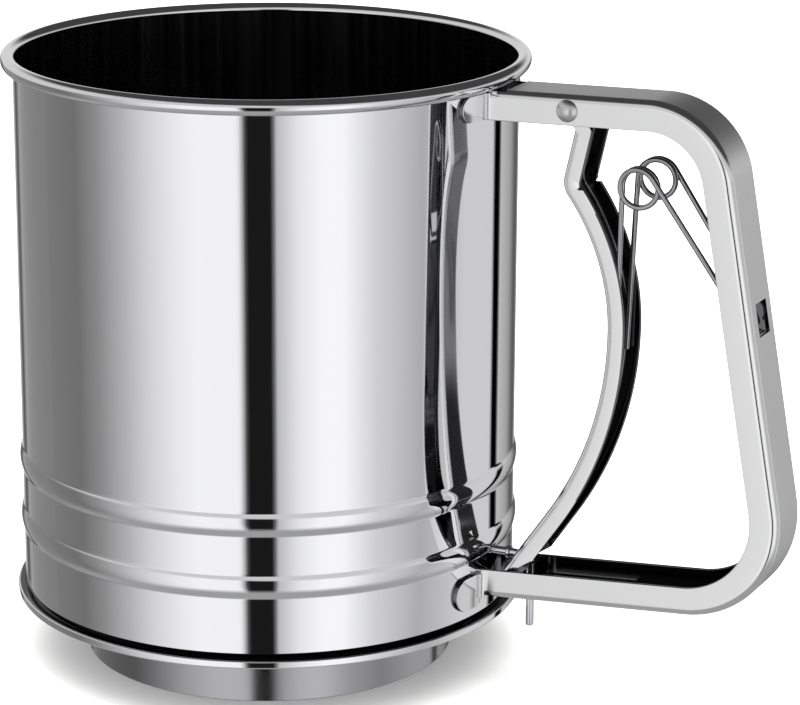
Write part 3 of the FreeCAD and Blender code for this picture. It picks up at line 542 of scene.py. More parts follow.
def plate(mesh: bmesh.types.BMesh, before: set[bmesh.types.BMVert], thickness: float) -> list[bmesh.types.BMVert]:
    """Fills the outline drawn last in the XZ plane, and gives it a thickness along Y.

    Args:
        mesh: the mesh.
        before: the vertices that were there before the outline.
        thickness: the plate's thickness.

    Returns:
        The plate's vertices.
    """
    edges = [edge for edge in mesh.edges if not set(edge.verts) & before]
    face = bmesh.ops.contextual_create(mesh, geom=edges)["faces"][0]
    extrude(mesh, [face], (0, thickness, 0))
    return [vert for vert in mesh.verts if vert not in before]


def even_normals(piece: bpy.types.Object) -> None:
    """Lets the large faces decide the shading at shared edges, so that flat sheet beside a bend looks flat.

    Args:
        piece: the piece.
    """
    weigh = piece.modifiers.new("normals", "WEIGHTED_NORMAL")
    weigh.weight, weigh.keep_sharp = 50, True
    apply_modifiers(piece)


def shade_inside(piece: bpy.types.Object, width: float, sheet: float, ahead: Sequence[float],
                 back: int = 0) -> None:
    """Paints shade on a channel: its inside and the cut edges of its flanges get its second finish, a painted shade
    colour.

    Args:
        piece: the channel.
        width: its width outside.
        sheet: its thickness.
        ahead: a point well in front of its open side.
        back: the number of the finish on the outside of its back.
    """
    for face in piece.data.polygons:
        centre = Vector(face.center) / MM
        opening = (Vector(ahead) - centre).normalized()
        aside = abs(centre.y)
        lining = aside < width / 2 - sheet + 0.05 and face.normal.y * centre.y < -0.5 * aside
        edge = aside < width / 2 + 0.01 and face.normal.dot(opening) > 0.3
        outside = aside < width / 2 - sheet and face.normal.dot(opening) < -0.6 and abs(face.normal.y) < 0.3
        face.material_index = back if outside else 0
        if lining or edge:
            face.material_index = 1


def dress(piece: bpy.types.Object, finishes: Sequence[SteelFinish], body: Body,
          stands_for: str | None = None) -> None:
    """Gives a piece its finishes, its body and the CAD node it stands for.

    Args:
        piece: the finished piece.
        finishes: its finishes, in the order of its faces' material numbers.
        body: the body it rides on.
        stands_for: the CAD node it replaces.
    """
    for finish in finishes:
        piece.data.materials.append(finish.material())
    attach(piece, body.value)
    if stands_for:
        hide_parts(stands_for)
    log.info("%s: %d faces on %s", piece.name, len(piece.data.polygons), body.value)


# ---------------------------------------------------------------- cup

@dataclass
class Cup:
    """The cup with its beads and rim curl, the collar seamed under it, and the ring that holds the screen."""

    radius: float = 50.0
    sheet: float = 0.6
    curl_height: float = 121.8
    curl_radius: float = 1.5
    curl_turn: float = 300.0
    beads: tuple[float, float] = (28.45, 40.95)
    bead_half: float = 2.3
    bead_round: float = 5.1
    bead_edge: float = 0.35
    neck_radius: float = 49.1
    neck_top: float = 14.65
    seat: float = 12.85
    flange_radius: float = 50.6
    flange_sheet: float = 0.4
    collar_radius: float = 37.4
    collar_bend: float = 1.25
    seam_round: float = 0.8
    lip_round: float = 0.35
    lip_width: float = 0.55
    edge_round: float = 0.15
    screen_radius: float = 48.3
    rod_level: float = 26.6
    rod_hole: float = 0.9
    around: int = 224

    def wall(self) -> None:
        """Makes the cup: flange, neck, beads, wall and curl, in one thickness of sheet."""
        mesh = bmesh.new()
        flange_top = self.seat + self.flange_sheet
        pen = Pen(mesh, self.flange_radius, flange_top).line(self.neck_radius, flange_top)
        pen.line(self.neck_radius, self.neck_top - 0.7).line(self.radius - 0.25, self.neck_top - 0.15)
        pen.line(self.radius, self.neck_top + 0.25)
        half_turn = math.degrees(math.asin(self.bead_half / self.bead_round))
        inset = self.bead_round * math.cos(math.radians(half_turn))
        for level in self.beads:
            pen.line(self.radius, level - self.bead_half)
            pen.arc(self.radius - inset, level, 2 * half_turn, 12)
        pen.line(self.radius, self.curl_height)
        pen.arc(self.radius + self.curl_radius - self.sheet, self.curl_height, -self.curl_turn, 30)
        revolve(mesh, self.around)
        self._soften_beads(mesh)
        self._thicken(mesh)
        rod_hole = bmesh.new()
        cylinder(rod_hole, (self.radius, 0, self.rod_level), "Y", self.rod_hole, 4)
        piece = mesh_object("cup_wall", mesh)
        cut_away(piece, rod_hole)
        even_normals(piece)
        # Painted shade: the outside of the neck and the flange top, down in the seam's recess, get the dark colour.
        for face in piece.data.polygons:
            if face.center.z < (self.neck_top + 0.1) * MM and face.material_index == 0:
                face.material_index = 2
        dress(piece, (MIRROR, DRAWN_WITH_PAINTED_SHADE, PAINTED_SHADE), Body.CUP, "cup_body")

    def _soften_beads(self, mesh: bmesh.types.BMesh) -> None:
        """Rounds the two edges of each bead, where a roller leaves no crease.

        Args:
            mesh: the wall, still without its thickness.
        """
        levels = [level + side * self.bead_half for level in self.beads for side in (-1, 1)]
        rings = [edge for edge in mesh.edges
                 if any(abs(vert.co.z - level) < 0.02 for level in levels for vert in edge.verts[:1])
                 and abs(edge.verts[0].co.z - edge.verts[1].co.z) < 0.01]
        round_off(mesh, rings, self.bead_edge, 3)

    def _thicken(self, mesh: bmesh.types.BMesh) -> None:
        """Gives the sheet its thickness, and its inner faces the second finish, whose darker colour is painted
        shade.

        Args:
            mesh: the wall, whose faces may still point either way.
        """
        outward = sum(face.normal.dot(Vector((*face.calc_center_median().xy, 0))) for face in mesh.faces
                      if 60 < face.calc_center_median().z < 120)
        if outward < 0:
            bmesh.ops.reverse_faces(mesh, faces=mesh.faces[:])
        outer = set(mesh.faces)
        bmesh.ops.solidify(mesh, geom=mesh.faces[:], thickness=self.sheet)
        inner_radius = self.radius - self.sheet / 2
        for face in mesh.faces:
            centre = face.calc_center_median()
            face.material_index = int(centre.xy.length < inner_radius and centre.z < self.curl_height
                                      and face.normal.dot(Vector((*centre.xy, 0))) < 0 and face not in outer)

    def collar(self) -> None:
        """Makes the collar: skirt, shoulder, and the seam rolled over the cup's flange."""
        mesh = bmesh.new()
        inside = self.collar_radius - self.sheet
        low = self.seat - self.sheet
        seam_reach = self.flange_radius + 0.1
        high = low + 2 * self.seam_round
        edge = self.edge_round
        pen = Pen(mesh, inside, edge).arc(inside + edge, edge, 90, 3).line(self.collar_radius - edge, 0)
        pen.arc(self.collar_radius - edge, edge, 90, 3)
        pen.line(self.collar_radius, low - self.collar_bend)
        pen.arc(self.collar_radius + self.collar_bend, low - self.collar_bend, -90, 8)
        lip = self.seam_round - self.lip_round
        pen.line(seam_reach + lip, low).arc(seam_reach + lip, low + self.lip_round, 90, 6)
        pen.line(seam_reach + self.seam_round, high - self.lip_round)
        pen.arc(seam_reach + lip, high - self.lip_round, 90, 6)
        pen.line(seam_reach - self.lip_width, high).arc(seam_reach - self.lip_width, high - edge, 90, 3)
        groove = self.seat + self.flange_sheet + 0.02
        pen.line(seam_reach - self.lip_width - edge, groove).line(seam_reach, groove).line(seam_reach, self.seat)
        pen.line(self.collar_radius + self.collar_bend, self.seat)
        pen.arc(self.collar_radius + self.collar_bend, low - self.collar_bend, 90, 8).close()
        revolve(mesh, self.around)
        # Painted shade: the groove over the cup's flange gets the dark colour; the seam above the skirt is mirror
        # bright and the skirt as rolled.
        for face in mesh.faces:
            centre = face.calc_center_median()
            in_groove = centre.z > high - 0.3 and centre.xy.length < seam_reach + 0.3
            face.material_index = 2 if in_groove else int(centre.z > low - 0.1)
        piece = mesh_object("seamed_collar", mesh)
        even_normals(piece)
        dress(piece, (ROLLED, MIRROR, PAINTED_SHADE), Body.CUP, "base_collar")

    def ring(self) -> None:
        """Makes the ring that holds the screen down."""
        mesh = bmesh.new()
        inner, low = self.screen_radius - 1.7, self.seat + 0.3
        pen = Pen(mesh, inner, low).line(self.screen_radius, low).line(self.screen_radius, low + 1.15)
        pen.line(inner + 1.0, low + 1.15).arc(inner + 1.0, low + 0.15, 90, 8).close()
        revolve(mesh, self.around)
        dress(mesh_object("clamp_ring", mesh), (BRIGHT,), Body.CUP, "screen_ring")

    def build(self) -> None:
        """Makes all of it."""
        self.wall()
        self.collar()
        self.ring()


@dataclass
class Screen:
    """The woven wire screen: crossing wires that pass over and under each other."""

    radius: float = 48.2
    level: float = 13.0
    pitch: float = 1.4
    wire: float = 0.15
    axle_clear: float = 1.6

    def build(self) -> None:
        """Makes the screen, coarser than real cloth of about one millimetre so that the weave shows."""
        mesh = bmesh.new()
        strand = bpy.data.meshes.new("strand")
        count = int(self.radius / self.pitch)
        for number in range(-count, count + 1):
            steps = 2 * int(math.sqrt(self.radius ** 2 - (number * self.pitch) ** 2) / self.pitch)
            for quarter in (0, 1):
                wire = self._strand(steps, number, quarter)
                wire.to_mesh(strand)
                wire.free()
                mesh.from_mesh(strand)
        bpy.data.meshes.remove(strand)
        bmesh.ops.recalc_face_normals(mesh, faces=mesh.faces[:])
        dress(mesh_object("woven_screen", mesh), (WOVEN,), Body.CUP, "mesh_screen")

    def _strand(self, steps: int, number: int, quarter: int) -> bmesh.types.BMesh:
        """Makes one wire of the cloth.

        Args:
            steps: its length, in crossings.
            number: its place from the middle, in crossings.
            quarter: 0 for a wire along X and 1 for one along Y.

        Returns:
            The wire, in its place.
        """
        mesh = bmesh.new()
        first = -steps // 2
        facing = Matrix.Translation((first * self.pitch, number * self.pitch, self.level))
        facing = facing @ Matrix.Rotation(math.pi / 2, 4, "Y")
        ring = bmesh.ops.create_circle(mesh, cap_ends=True, segments=5, radius=self.wire, matrix=facing)["verts"]
        sweep = Sweep(mesh, ring[0].link_faces[0])
        rings = [ring]
        for _ in range(steps):
            sweep.run(Vector((self.pitch, 0, 0)))
            rings.append(sweep.verts())
        sweep.cap()
        for place, verts in enumerate(rings):
            over = 1 if (first + place + number + quarter) % 2 else -1
            bmesh.ops.translate(mesh, verts=verts, vec=(0, 0, over * self.wire * 0.95))
        turn = Matrix.Rotation(quarter * math.pi / 2, 3, "Z")
        bmesh.ops.rotate(mesh, verts=mesh.verts[:], cent=(0, 0, 0), matrix=turn)
        return mesh


# ---------------------------------------------------------------- handle

def channel_face(mesh: bmesh.types.BMesh, at: Vector, inward: Vector, width: float, depth: float, sheet: float,
                 bend: float) -> bmesh.types.BMFace:
    """Makes the section of a channel: a back along Y with two flanges.

    Args:
        mesh: the mesh to make it in.
        at: the middle of the back's outside.
        inward: the direction in which the flanges run.
        width: the width outside.
        depth: the depth outside.
        sheet: the thickness.
        bend: the outside radius of the two bends.

    Returns:
        The face of the section.
    """
    half, inner = width / 2, width / 2 - sheet
    outline = [(-half, depth), (-half, 0), (half, 0), (half, depth), (inner, depth), (inner, sheet),
               (-inner, sheet), (-inner, depth)]
    verts = [mesh.verts.new(at + Vector((0, across, 0)) + inward * along) for across, along in outline]
    mesh.faces.new(verts)
    for picks, radius, steps in (((0, 3, 4, 7), 0.22, 2), ((1, 2), bend, 7), ((5, 6), bend - sheet, 7)):
        round_off(mesh, [verts[i] for i in picks], radius, steps, "VERTICES")
    mesh.faces.ensure_lookup_table()
    return mesh.faces[0]


@dataclass
class Handle:
    """The handle: one bent channel with slots in its back, and ears welded to the cup."""

    width: float = 12.8
    depth: float = 5.8
    sheet: float = 0.8
    bend: float = 1.7
    start: float = 49.75
    corners: tuple[tuple[float, float], ...] = ((49.0, 120.6), (97.8, 122.05), (115.5, 23.2), (49.0, 18.35))
    rounds: tuple[float, float] = (17.0, 20.0)
    upper_back_end: float = 54.3
    lower_back_end: float = 53.2
    ring_inner: float = 50.06
    spring_slot: tuple[float, float, float] = (5.5, 78.0, 84.3)
    leg_slot: tuple[float, float, float] = (2.8, 57.1, 77.2)
    pivot: tuple[float, float] = (67.2, 118.2)
    pivot_hole: float = 1.2
    ears: tuple[tuple[float, float, float, float], ...] = ((117.55, 2.6, 10.9, 0.3), (20.1, 3.4, 10.4, 2.0))
    folds: tuple[tuple[float, float], ...] = ((115.1, 120.05), (18.4, 23.4))
    fold: float = 1.1
    fold_start: float = 50.31
    tab: tuple[tuple[float, float], ...] = (
        (105.45, 76.5), (105.05, 78.1), (101.95, 79.0), (101.75, 78.3), (104.35, 77.4), (104.65, 76.5))
    tab_half: float = 2.2

    def build(self) -> None:
        """Makes the handle."""
        mesh = bmesh.new()
        spots = [Vector((x, 0, z)) for x, z in self.corners]
        heading = (spots[1] - spots[0]).normalized()
        here = spots[0] + heading * (self.start - spots[0].x)
        inward = Vector((heading.z, 0, -heading.x))
        sweep = Sweep(mesh, channel_face(mesh, here, inward, self.width, self.depth, self.sheet, self.bend))
        for corner, after, bend in zip(spots[1:], spots[2:], self.rounds):
            here = sweep.turn(here, corner, after, bend, 28)
        homeward = (spots[-1] - here).normalized()
        sweep.run(homeward * ((here.x - self.start) / -homeward.x))
        sweep.cap()
        bmesh.ops.recalc_face_normals(mesh, faces=mesh.faces[:])
        piece = mesh_object("handle_channel", mesh)
        cut_away(piece, self._cutters())
        ears, folds = bmesh.new(), bmesh.new()
        for hand in (-1, 1):
            for sizes in self.ears:
                self._ear(ears, hand, *sizes)
            for low, high in self.folds:
                self._fold(folds, hand, low, high)
        prism(folds, self.tab, self.tab_half)
        fuse(piece, mesh_object("ears", ears))
        fuse(piece, mesh_object("folds", folds))
        piece.data.set_sharp_from_angle(angle=math.radians(40))
        even_normals(piece)
        # Painted shade on the channel's inside, its cut edges and the cut edges of the ears.
        shade_inside(piece, self.width, self.sheet, (80, 0, 70), 3)
        self._shade_ears(piece)
        dress(piece, (SATIN, PAINTED_SHADE, TUMBLED, BRUSHED), Body.CUP, "handle")

    def _fold(self, mesh: bmesh.types.BMesh, hand: int, low: float, high: float) -> None:
        """Adds the round inside of the fold between a flange and its ear.

        Args:
            mesh: the mesh to add it to.
            hand: -1 or 1, the side that it is on.
            low: its lower end.
            high: its upper end.
        """
        before = set(mesh.verts)
        aside, root = self.width / 2, self.fold_start
        pen = Pen(mesh, root, aside + self.fold).arc(root + self.fold, aside + self.fold, 90, 8)
        pen.line(root + self.fold, aside - 0.3).line(root - 0.4, aside - 0.3).line(root - 0.4, aside + self.fold)
        pen.close()
        own = plate(mesh, before, high - low)
        stand = Matrix.Rotation(math.pi / 2, 3, "X")
        bmesh.ops.rotate(mesh, verts=own, cent=(0, 0, 0), matrix=stand)
        bmesh.ops.scale(mesh, verts=own, vec=(1, -hand, 1))
        bmesh.ops.translate(mesh, verts=own, vec=(0, 0, low))
        bmesh.ops.recalc_face_normals(mesh, faces=mesh.faces[:])

    def _shade_ears(self, piece: bpy.types.Object) -> None:
        """Gives the cut edges of the ears the second finish, a painted shade colour, and the folds the third.

        Args:
            piece: the handle.
        """
        for face in piece.data.polygons:
            reach, aside, _ = (abs(value) / MM for value in face.center)
            if reach > 52 or aside < self.width / 2 + 0.03:
                continue
            in_fold = aside < self.width / 2 + self.fold and face.normal.x < 0.97
            if abs(face.normal.z) > 0.5 or (face.normal.x < 0.5 and not in_fold):
                face.material_index = 1
            elif in_fold:
                face.material_index = 2

    def _cutters(self) -> bmesh.types.BMesh:
        """Makes the shapes of the slots, the backs' ends and the pivot hole.

        Returns:
            The shapes.
        """
        mesh = bmesh.new()
        inner = self.width / 2 - self.sheet
        width, low, high = self.spring_slot
        block(mesh, (100, -width / 2, low), (115, width / 2, high))
        width, near, far = self.leg_slot
        block(mesh, (near, -width / 2, 15), (far, width / 2, 22.5))
        block(mesh, (44, -inner, 118.5), (self.upper_back_end, inner, 125))
        block(mesh, (44, -inner, 14), (self.lower_back_end, inner, 21))
        cylinder(mesh, (self.pivot[0], 0, self.pivot[1]), "X", self.pivot_hole, 16)
        return mesh

    def _ear(self, mesh: bmesh.types.BMesh, hand: int, level: float, lobe: float, reach: float,
             heel: float) -> None:
        """Adds one ear, curved to the cup.

        Args:
            mesh: the mesh to add it to.
            hand: -1 or 1, the side that it is on.
            level: its height.
            lobe: the radius of its rounded end.
            reach: how far aside the middle of that end is.
            heel: the radius of its lower corner at the fold.
        """
        root, tip = self.width / 2 - self.sheet * 0.9, reach + lobe
        face = mesh.faces.new([mesh.verts.new((0, hand * y, z)) for y, z in (
            (root, level - lobe), (tip, level - lobe), (tip, level + lobe), (root, level + lobe))])
        outer = [vert for vert in face.verts if abs(vert.co.y) > reach]
        corner = [vert for vert in face.verts if abs(vert.co.y) < reach and vert.co.z < level]
        round_off(mesh, outer, lobe * 0.98, 12, "VERTICES")
        round_off(mesh, corner, heel, 6, "VERTICES")
        flat = [f for f in mesh.faces if all(vert.co.x == 0 for vert in f.verts)]
        own = [v for f in extrude(mesh, flat, (self.sheet, 0, 0)) for v in f.verts]
        faces = list({f for v in own for f in v.link_faces})
        rims = [edge for edge in {e for f in faces for e in f.edges}
                if edge.verts[0].co.x > 0.5 and edge.verts[1].co.x > 0.5]
        round_off(mesh, rims, 0.2, 2)
        for number in range(1, 12):
            aside = hand * (root + (tip - root) * number / 12)
            part = [p for p in mesh.faces[:] + mesh.edges[:] + mesh.verts[:] if self._flat(p)]
            bmesh.ops.bisect_plane(mesh, geom=part, plane_co=(0, aside, 0), plane_no=(0, 1, 0), dist=1e-5)
        for vert in mesh.verts:
            if vert.co.x < 10:
                vert.co.x = math.sqrt((self.ring_inner + vert.co.x) ** 2 - vert.co.y ** 2)
        bmesh.ops.recalc_face_normals(mesh, faces=mesh.faces[:])

    @staticmethod
    def _flat(part: bmesh.types.BMVert | bmesh.types.BMEdge | bmesh.types.BMFace) -> bool:
        """True for a part of an ear that isn't curved yet."""
        verts = [part] if isinstance(part, bmesh.types.BMVert) else part.verts
        return all(vert.co.x < 10 for vert in verts)


# ---------------------------------------------------------------- trigger, rivet

@dataclass
class Trigger:
    """The trigger: one bent channel, open towards the grip, with ears round the pivot."""

    width: float = 9.4
    depth: float = 3.8
    sheet: float = 0.7
    bend: float = 1.4
    top: tuple[float, float] = (67.95, 115.0)
    lean: float = 12.6
    kink: float = 4.6
    bulge: tuple[float, float] = (75.25, 75.5)
    upper_round: float = 42.5
    lower_round: float = 67.0
    tail_lean: float = 34.4
    tail_height: float = 24.6
    pivot: tuple[float, float] = (67.2, 118.2)
    pivot_hole: float = 1.26
    ear_radius: float = 1.9
    rod_leg: float = 58.6
    rod_hole: tuple[float, float, float] = (2.6, 24.9, 28.7)

    def build(self) -> None:
        """Makes the trigger."""
        mesh = bmesh.new()
        axis = Vector((0, 1, 0))
        lean, tail = math.radians(self.lean), math.radians(self.tail_lean)
        top, bulge = Vector((self.top[0], 0, self.top[1])), Vector((self.bulge[0], 0, self.bulge[1]))
        down = Vector((-math.sin(lean), 0, -math.cos(lean)))
        grip_side = Vector((math.cos(lean), 0, -math.sin(lean)))
        upper_centre = bulge - Vector((self.upper_round, 0, 0))
        lower_centre = bulge - Vector((self.lower_round, 0, 0))
        offset = top + grip_side * self.kink - upper_centre
        half = offset.dot(down)
        run = -half - math.sqrt(half ** 2 - offset.length_squared + (self.upper_round + self.kink) ** 2)
        kink_centre = top + grip_side * self.kink + down * run
        kink_end = upper_centre + (kink_centre - upper_centre).normalized() * self.upper_round
        kink_turn = (-grip_side).angle(kink_end - kink_centre)
        swing = (kink_end - upper_centre).angle(Vector((1, 0, 0)))
        tail_dir = Vector((-math.sin(tail), 0, -math.cos(tail)))
        tail_start = lower_centre + Vector((math.cos(tail), 0, -math.sin(tail))) * self.lower_round
        face = channel_face(mesh, top, grip_side, self.width, self.depth, self.sheet, self.bend)
        sweep = Sweep(mesh, face).run(down * run)
        sweep.bend(kink_centre, -axis, kink_turn, 12)
        sweep.bend(upper_centre, axis, swing, 26)
        sweep.bend(lower_centre, axis, tail, 20)
        sweep.run(tail_dir * ((tail_start.z - self.tail_height) / math.cos(tail)))
        sweep.cap()
        bmesh.ops.recalc_face_normals(mesh, faces=mesh.faces[:])
        piece = mesh_object("trigger_channel", mesh)
        notch_at = (top + down * run + kink_end) * 0.5
        self._add_ears(piece)
        cut_away(piece, self._cutters(notch_at))
        piece.data.set_sharp_from_angle(angle=math.radians(40))
        even_normals(piece)
        # Painted shade on the channel's inside and its cut edges.
        shade_inside(piece, self.width, self.sheet, (400, 0, 70), 2)
        dress(piece, (BRIGHT, PAINTED_SHADE, ROLLED), Body.TRIGGER, "trigger")

    def _add_ears(self, piece: bpy.types.Object) -> None:
        """Fuses the two ears round the pivot to the channel.

        Args:
            piece: the channel.
        """
        mesh = bmesh.new()
        reach, level = self.pivot
        low = self.top[1] - 0.6
        for hand in (-1, 1):
            before = set(mesh.verts)
            pen = Pen(mesh, reach + self.ear_radius, level)
            pen.arc(reach, level, 180, 16).line(self.top[0] - 0.1, low + 0.4).line(self.top[0] + 1.2, low - 1)
            pen.line(self.top[0] + self.depth - 0.2, low).close()
            own = plate(mesh, before, self.sheet)
            side = hand * (self.width / 2 - self.sheet / 2) - self.sheet / 2
            bmesh.ops.translate(mesh, verts=own, vec=(0, side, 0))
        bmesh.ops.recalc_face_normals(mesh, faces=mesh.faces[:])
        fuse(piece, mesh_object("trigger_ears", mesh))

    def _cutters(self, kink: Vector) -> bmesh.types.BMesh:
        """Makes the shapes of the notch at the kink, the slanted end, the rod's hole and the pivot hole.

        Args:
            kink: the middle of the kink.

        Returns:
            The shapes.
        """
        mesh = bmesh.new()
        half = self.width / 2 + 1
        apex = Vector((kink.x + 2.75, 0, kink.z - 0.35))
        prism(mesh, [(apex.x, apex.z), (apex.x + 4, apex.z + 0.1), (apex.x + 2.4, apex.z + 3.7)], half)
        end = (self.rod_leg + 4.6, self.tail_height + 4.2)
        prism(mesh, [(end[0] - 10, end[1] - 6.6), (end[0] - 2, end[1] - 9), (end[0] + 6, end[1] - 3),
                     (end[0] + 1.2, end[1] + 0.8)], half)
        width, low, high = self.rod_hole
        block(mesh, (self.rod_leg - 8, -width / 2, low), (self.rod_leg + 1.8, width / 2, high))
        cylinder(mesh, (self.pivot[0], 0, self.pivot[1]), "X", self.pivot_hole, 12)
        return mesh


@dataclass
class Rivet:
    """The rivet through the handle and the trigger."""

    pivot: tuple[float, float] = (67.2, 118.2)
    shank: float = 1.2
    head: float = 2.15
    proud: float = 1.1
    half: float = 6.4

    def build(self) -> None:
        """Makes the rivet, with a low dome at each end."""
        mesh = bmesh.new()
        crown = (self.head ** 2 + self.proud ** 2) / (2 * self.proud)
        sweep = math.degrees(math.asin(self.head / crown))
        edge = self.half + 0.12
        pen = Pen(mesh, self.shank, -self.half).line(self.head, -self.half).line(self.head, -edge)
        pen.arc(0, -(edge + self.proud - crown), -sweep, 10)
        bottom = pen.tip
        pen = Pen(mesh, self.shank, self.half).line(self.head, self.half).line(self.head, edge)
        pen.arc(0, edge + self.proud - crown, sweep, 10)
        mesh.edges.new([vert for vert in mesh.verts if abs(vert.co.x - self.shank) < 1e-6])
        bottom.co.x = pen.tip.co.x = 0
        revolve(mesh, 40)
        lay = Matrix.Rotation(math.pi / 2, 3, "X")
        bmesh.ops.rotate(mesh, verts=mesh.verts[:], cent=(0, 0, 0), matrix=lay)
        bmesh.ops.translate(mesh, verts=mesh.verts[:], vec=(self.pivot[0], 0, self.pivot[1]))
        dress(mesh_object("pivot_rivet_domed", mesh), (TUMBLED,), Body.CUP, "pivot_rivet")


# ---------------------------------------------------------------- wires

@dataclass
class ReturnSpring:
    """The double torsion spring: two coils, two free legs and two legs joined by a bridge."""

    wire: float = 0.55
    coil: float = 3.7
    centre: tuple[float, float, float] = (81.5, 3.9, 104.5)
    pitch: float = 1.3
    tip: tuple[float, float, float] = (76.75, 2.9, 70.7)
    bridge: tuple[float, float, float] = (103.55, 1.9, 79.75)
    bridge_bend: float = 1.0
    elbow: tuple[float, float] = (98.8, 4.7)
    elbow_bend: float = 2.0

    def _touch(self, point: Vector, side: int) -> float:
        """Finds the angle at which a line from a point touches the coil.

        Args:
            point: the point.
            side: -1 or 1, the side of the coil.

        Returns:
            The angle in radians.
        """
        line = point - Vector(self.centre)
        return math.atan2(line.z, line.x) + side * math.acos(self.coil / math.hypot(line.x, line.z))

    def build(self) -> None:
        """Makes the spring in one pose, running from its free legs at the trigger round its coils to the bridge in
        the handle; nothing here makes it bend with the trigger."""
        centre, tip, bridge = Vector(self.centre), Vector(self.tip), Vector(self.bridge)
        enter, leave = self._touch(tip, -1) % math.tau, self._touch(bridge, 1)
        turn = enter - leave + math.tau
        on_coil = centre + Vector((math.cos(enter), 0, math.sin(enter))) * self.coil
        heading = (on_coil - tip).normalized()
        mesh = bmesh.new()
        face = wire_end(mesh, tip, heading, self.wire)
        free_end = list(face.edges)
        sweep = Sweep(mesh, face).run(heading * 1.0)
        for _ in range(12):
            sweep.run((on_coil - tip - heading) / 12)
        steps = round(math.degrees(turn) / 6)
        sweep.bend(centre, Vector((0, 1, 0)), turn, steps, Vector((0, self.pitch * turn / math.tau / steps, 0)))
        here = centre + Vector((math.cos(leave), 0, math.sin(leave))) * self.coil
        here.y += self.pitch * turn / math.tau
        elbow = here + (bridge - here) * ((self.elbow[0] - here.x) / (bridge.x - here.x))
        elbow.y = self.elbow[1]
        here = sweep.turn(here, elbow, bridge, self.elbow_bend, 10, 12)
        here = sweep.turn(here, bridge, Vector((bridge.x, 0, bridge.z)), self.bridge_bend, 10, 12)
        sweep.run(Vector((0, -here.y, 0)))
        for vert in sweep.verts():
            vert.co.y = 0
        round_off(mesh, free_end, self.wire * END_ROUND, 3)
        bmesh.ops.mirror(mesh, geom=mesh.verts[:] + mesh.edges[:] + mesh.faces[:], matrix=Matrix.Identity(4),
                         merge_dist=1e-3, axis="Y")
        bmesh.ops.recalc_face_normals(mesh, faces=mesh.faces[:])
        piece = mesh_object("double_spring", mesh, 50)
        piece.data.materials.append(SPRING.material())
        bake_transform(piece)
        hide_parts("return_spring")
        log.info("%s: %d faces between cup and trigger", piece.name, len(piece.data.polygons))


@dataclass
class DriveRod:
    """The drive rod: a hanging leg, a straight run into the cup, a jog aside and a hooked end."""

    wire: float = 0.8
    leg: float = 58.6
    foot: float = 11.9
    level: float = 26.6
    jog_start: float = 30.0
    jog_end: float = 15.0
    aside: float = -15.0
    hook: float = -8.35
    hook_top: float = 31.0
    bend: float = 1.7
    stop_radius: float = 1.35
    stop: tuple[float, float] = (53.6, 54.3)

    def build(self) -> None:
        """Makes the rod and its shoulder."""
        mesh = bmesh.new()
        points = [Vector((self.leg, 0, self.foot)), Vector((self.leg, 0, self.level)),
                  Vector((self.jog_start, 0, self.level)), Vector((self.jog_end, self.aside, self.level)),
                  Vector((self.hook, self.aside, self.level)), Vector((self.hook, self.aside, self.hook_top))]
        bent_wire(mesh, points, self.bend, self.wire)
        middle, depth = sum(self.stop) / 2, self.stop[1] - self.stop[0]
        verts = cylinder(mesh, (middle, 0, self.level), "Y", self.stop_radius, depth, 28)
        rims = {edge for vert in verts for edge in vert.link_edges
                if abs(edge.verts[0].co.x - edge.verts[1].co.x) < 1e-6}
        round_off(mesh, list(rims), 0.15, 2)
        dress(mesh_object("drive_rod_wire", mesh), (WIRE,), Body.ROD, "drive_rod")


@dataclass
class AgitatorArms:
    """The four wire arms that sweep the screen."""

    wire: float = 0.9
    hub: float = 3.35
    level: float = 18.0
    sweep: float = 14.75
    reach: float = 43.5
    tip: float = 3.3
    bend: float = 2.0
    first: float = 20.0

    def build(self) -> None:
        """Makes the arms, a quarter turn apart."""
        route = [Vector((self.hub, 0, self.level)), Vector((self.hub + 3.5, 0, self.level)),
                 Vector((self.hub + 8, 0, self.sweep)), Vector((self.reach, 0, self.sweep)),
                 Vector((self.reach, 0, self.sweep + self.tip))]
        for number in range(4):
            mesh = bmesh.new()
            bent_wire(mesh, route, self.bend, self.wire)
            turn = Matrix.Rotation(math.radians(self.first + 90 * number), 3, "Z")
            bmesh.ops.rotate(mesh, verts=mesh.verts[:], cent=(0, 0, 0), matrix=turn)
            piece = mesh_object(f"sweep_arm_{number + 1}", mesh)
            dress(piece, (WIRE,), Body.AGITATOR, f"agitator_arm_{number + 1}")


# ---------------------------------------------------------------- pieces kept from the CAD model

KEPT = {
    "cross_bar": SATIN, "axle_pin": LATHE, "thrust_washer": LATHE, "top_washer": LATHE, "axle_cap": LATHE,
    "agitator_hub": LATHE, "crank_arm": SATIN, "crank_clip": LATHE, "pivot_spacer_near": LATHE,
    "pivot_spacer_far": LATHE,
}


def dress_kept_pieces() -> None:
    """Gives each piece that keeps its CAD shape its finish."""
    for name, finish in KEPT.items():
        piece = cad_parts[name]
        piece.data.materials.clear()
        piece.data.materials.append(finish.material())
        log.info("%s keeps its CAD shape", name)


# ---------------------------------------------------------------- studio

@dataclass(frozen=True)
class Card:
    """A stretch of the studio's wall: two directions in degrees from +X, and how bright it is at each."""

    start: float
    end: float
    glow_start: float
    glow_end: float


@dataclass(frozen=True)
class Panel:
    """A panel over or under the walls: its direction, where it fades along that, its share there, and its glow."""

    slope: tuple[float, float, float]
    fade: tuple[float, float]
    shares: tuple[float, float]
    glow: float


def grey(glow: float) -> tuple[float, float, float, float]:
    """A colour without hue, as linear red, green, blue and alpha."""
    return glow, glow, glow, 1.0


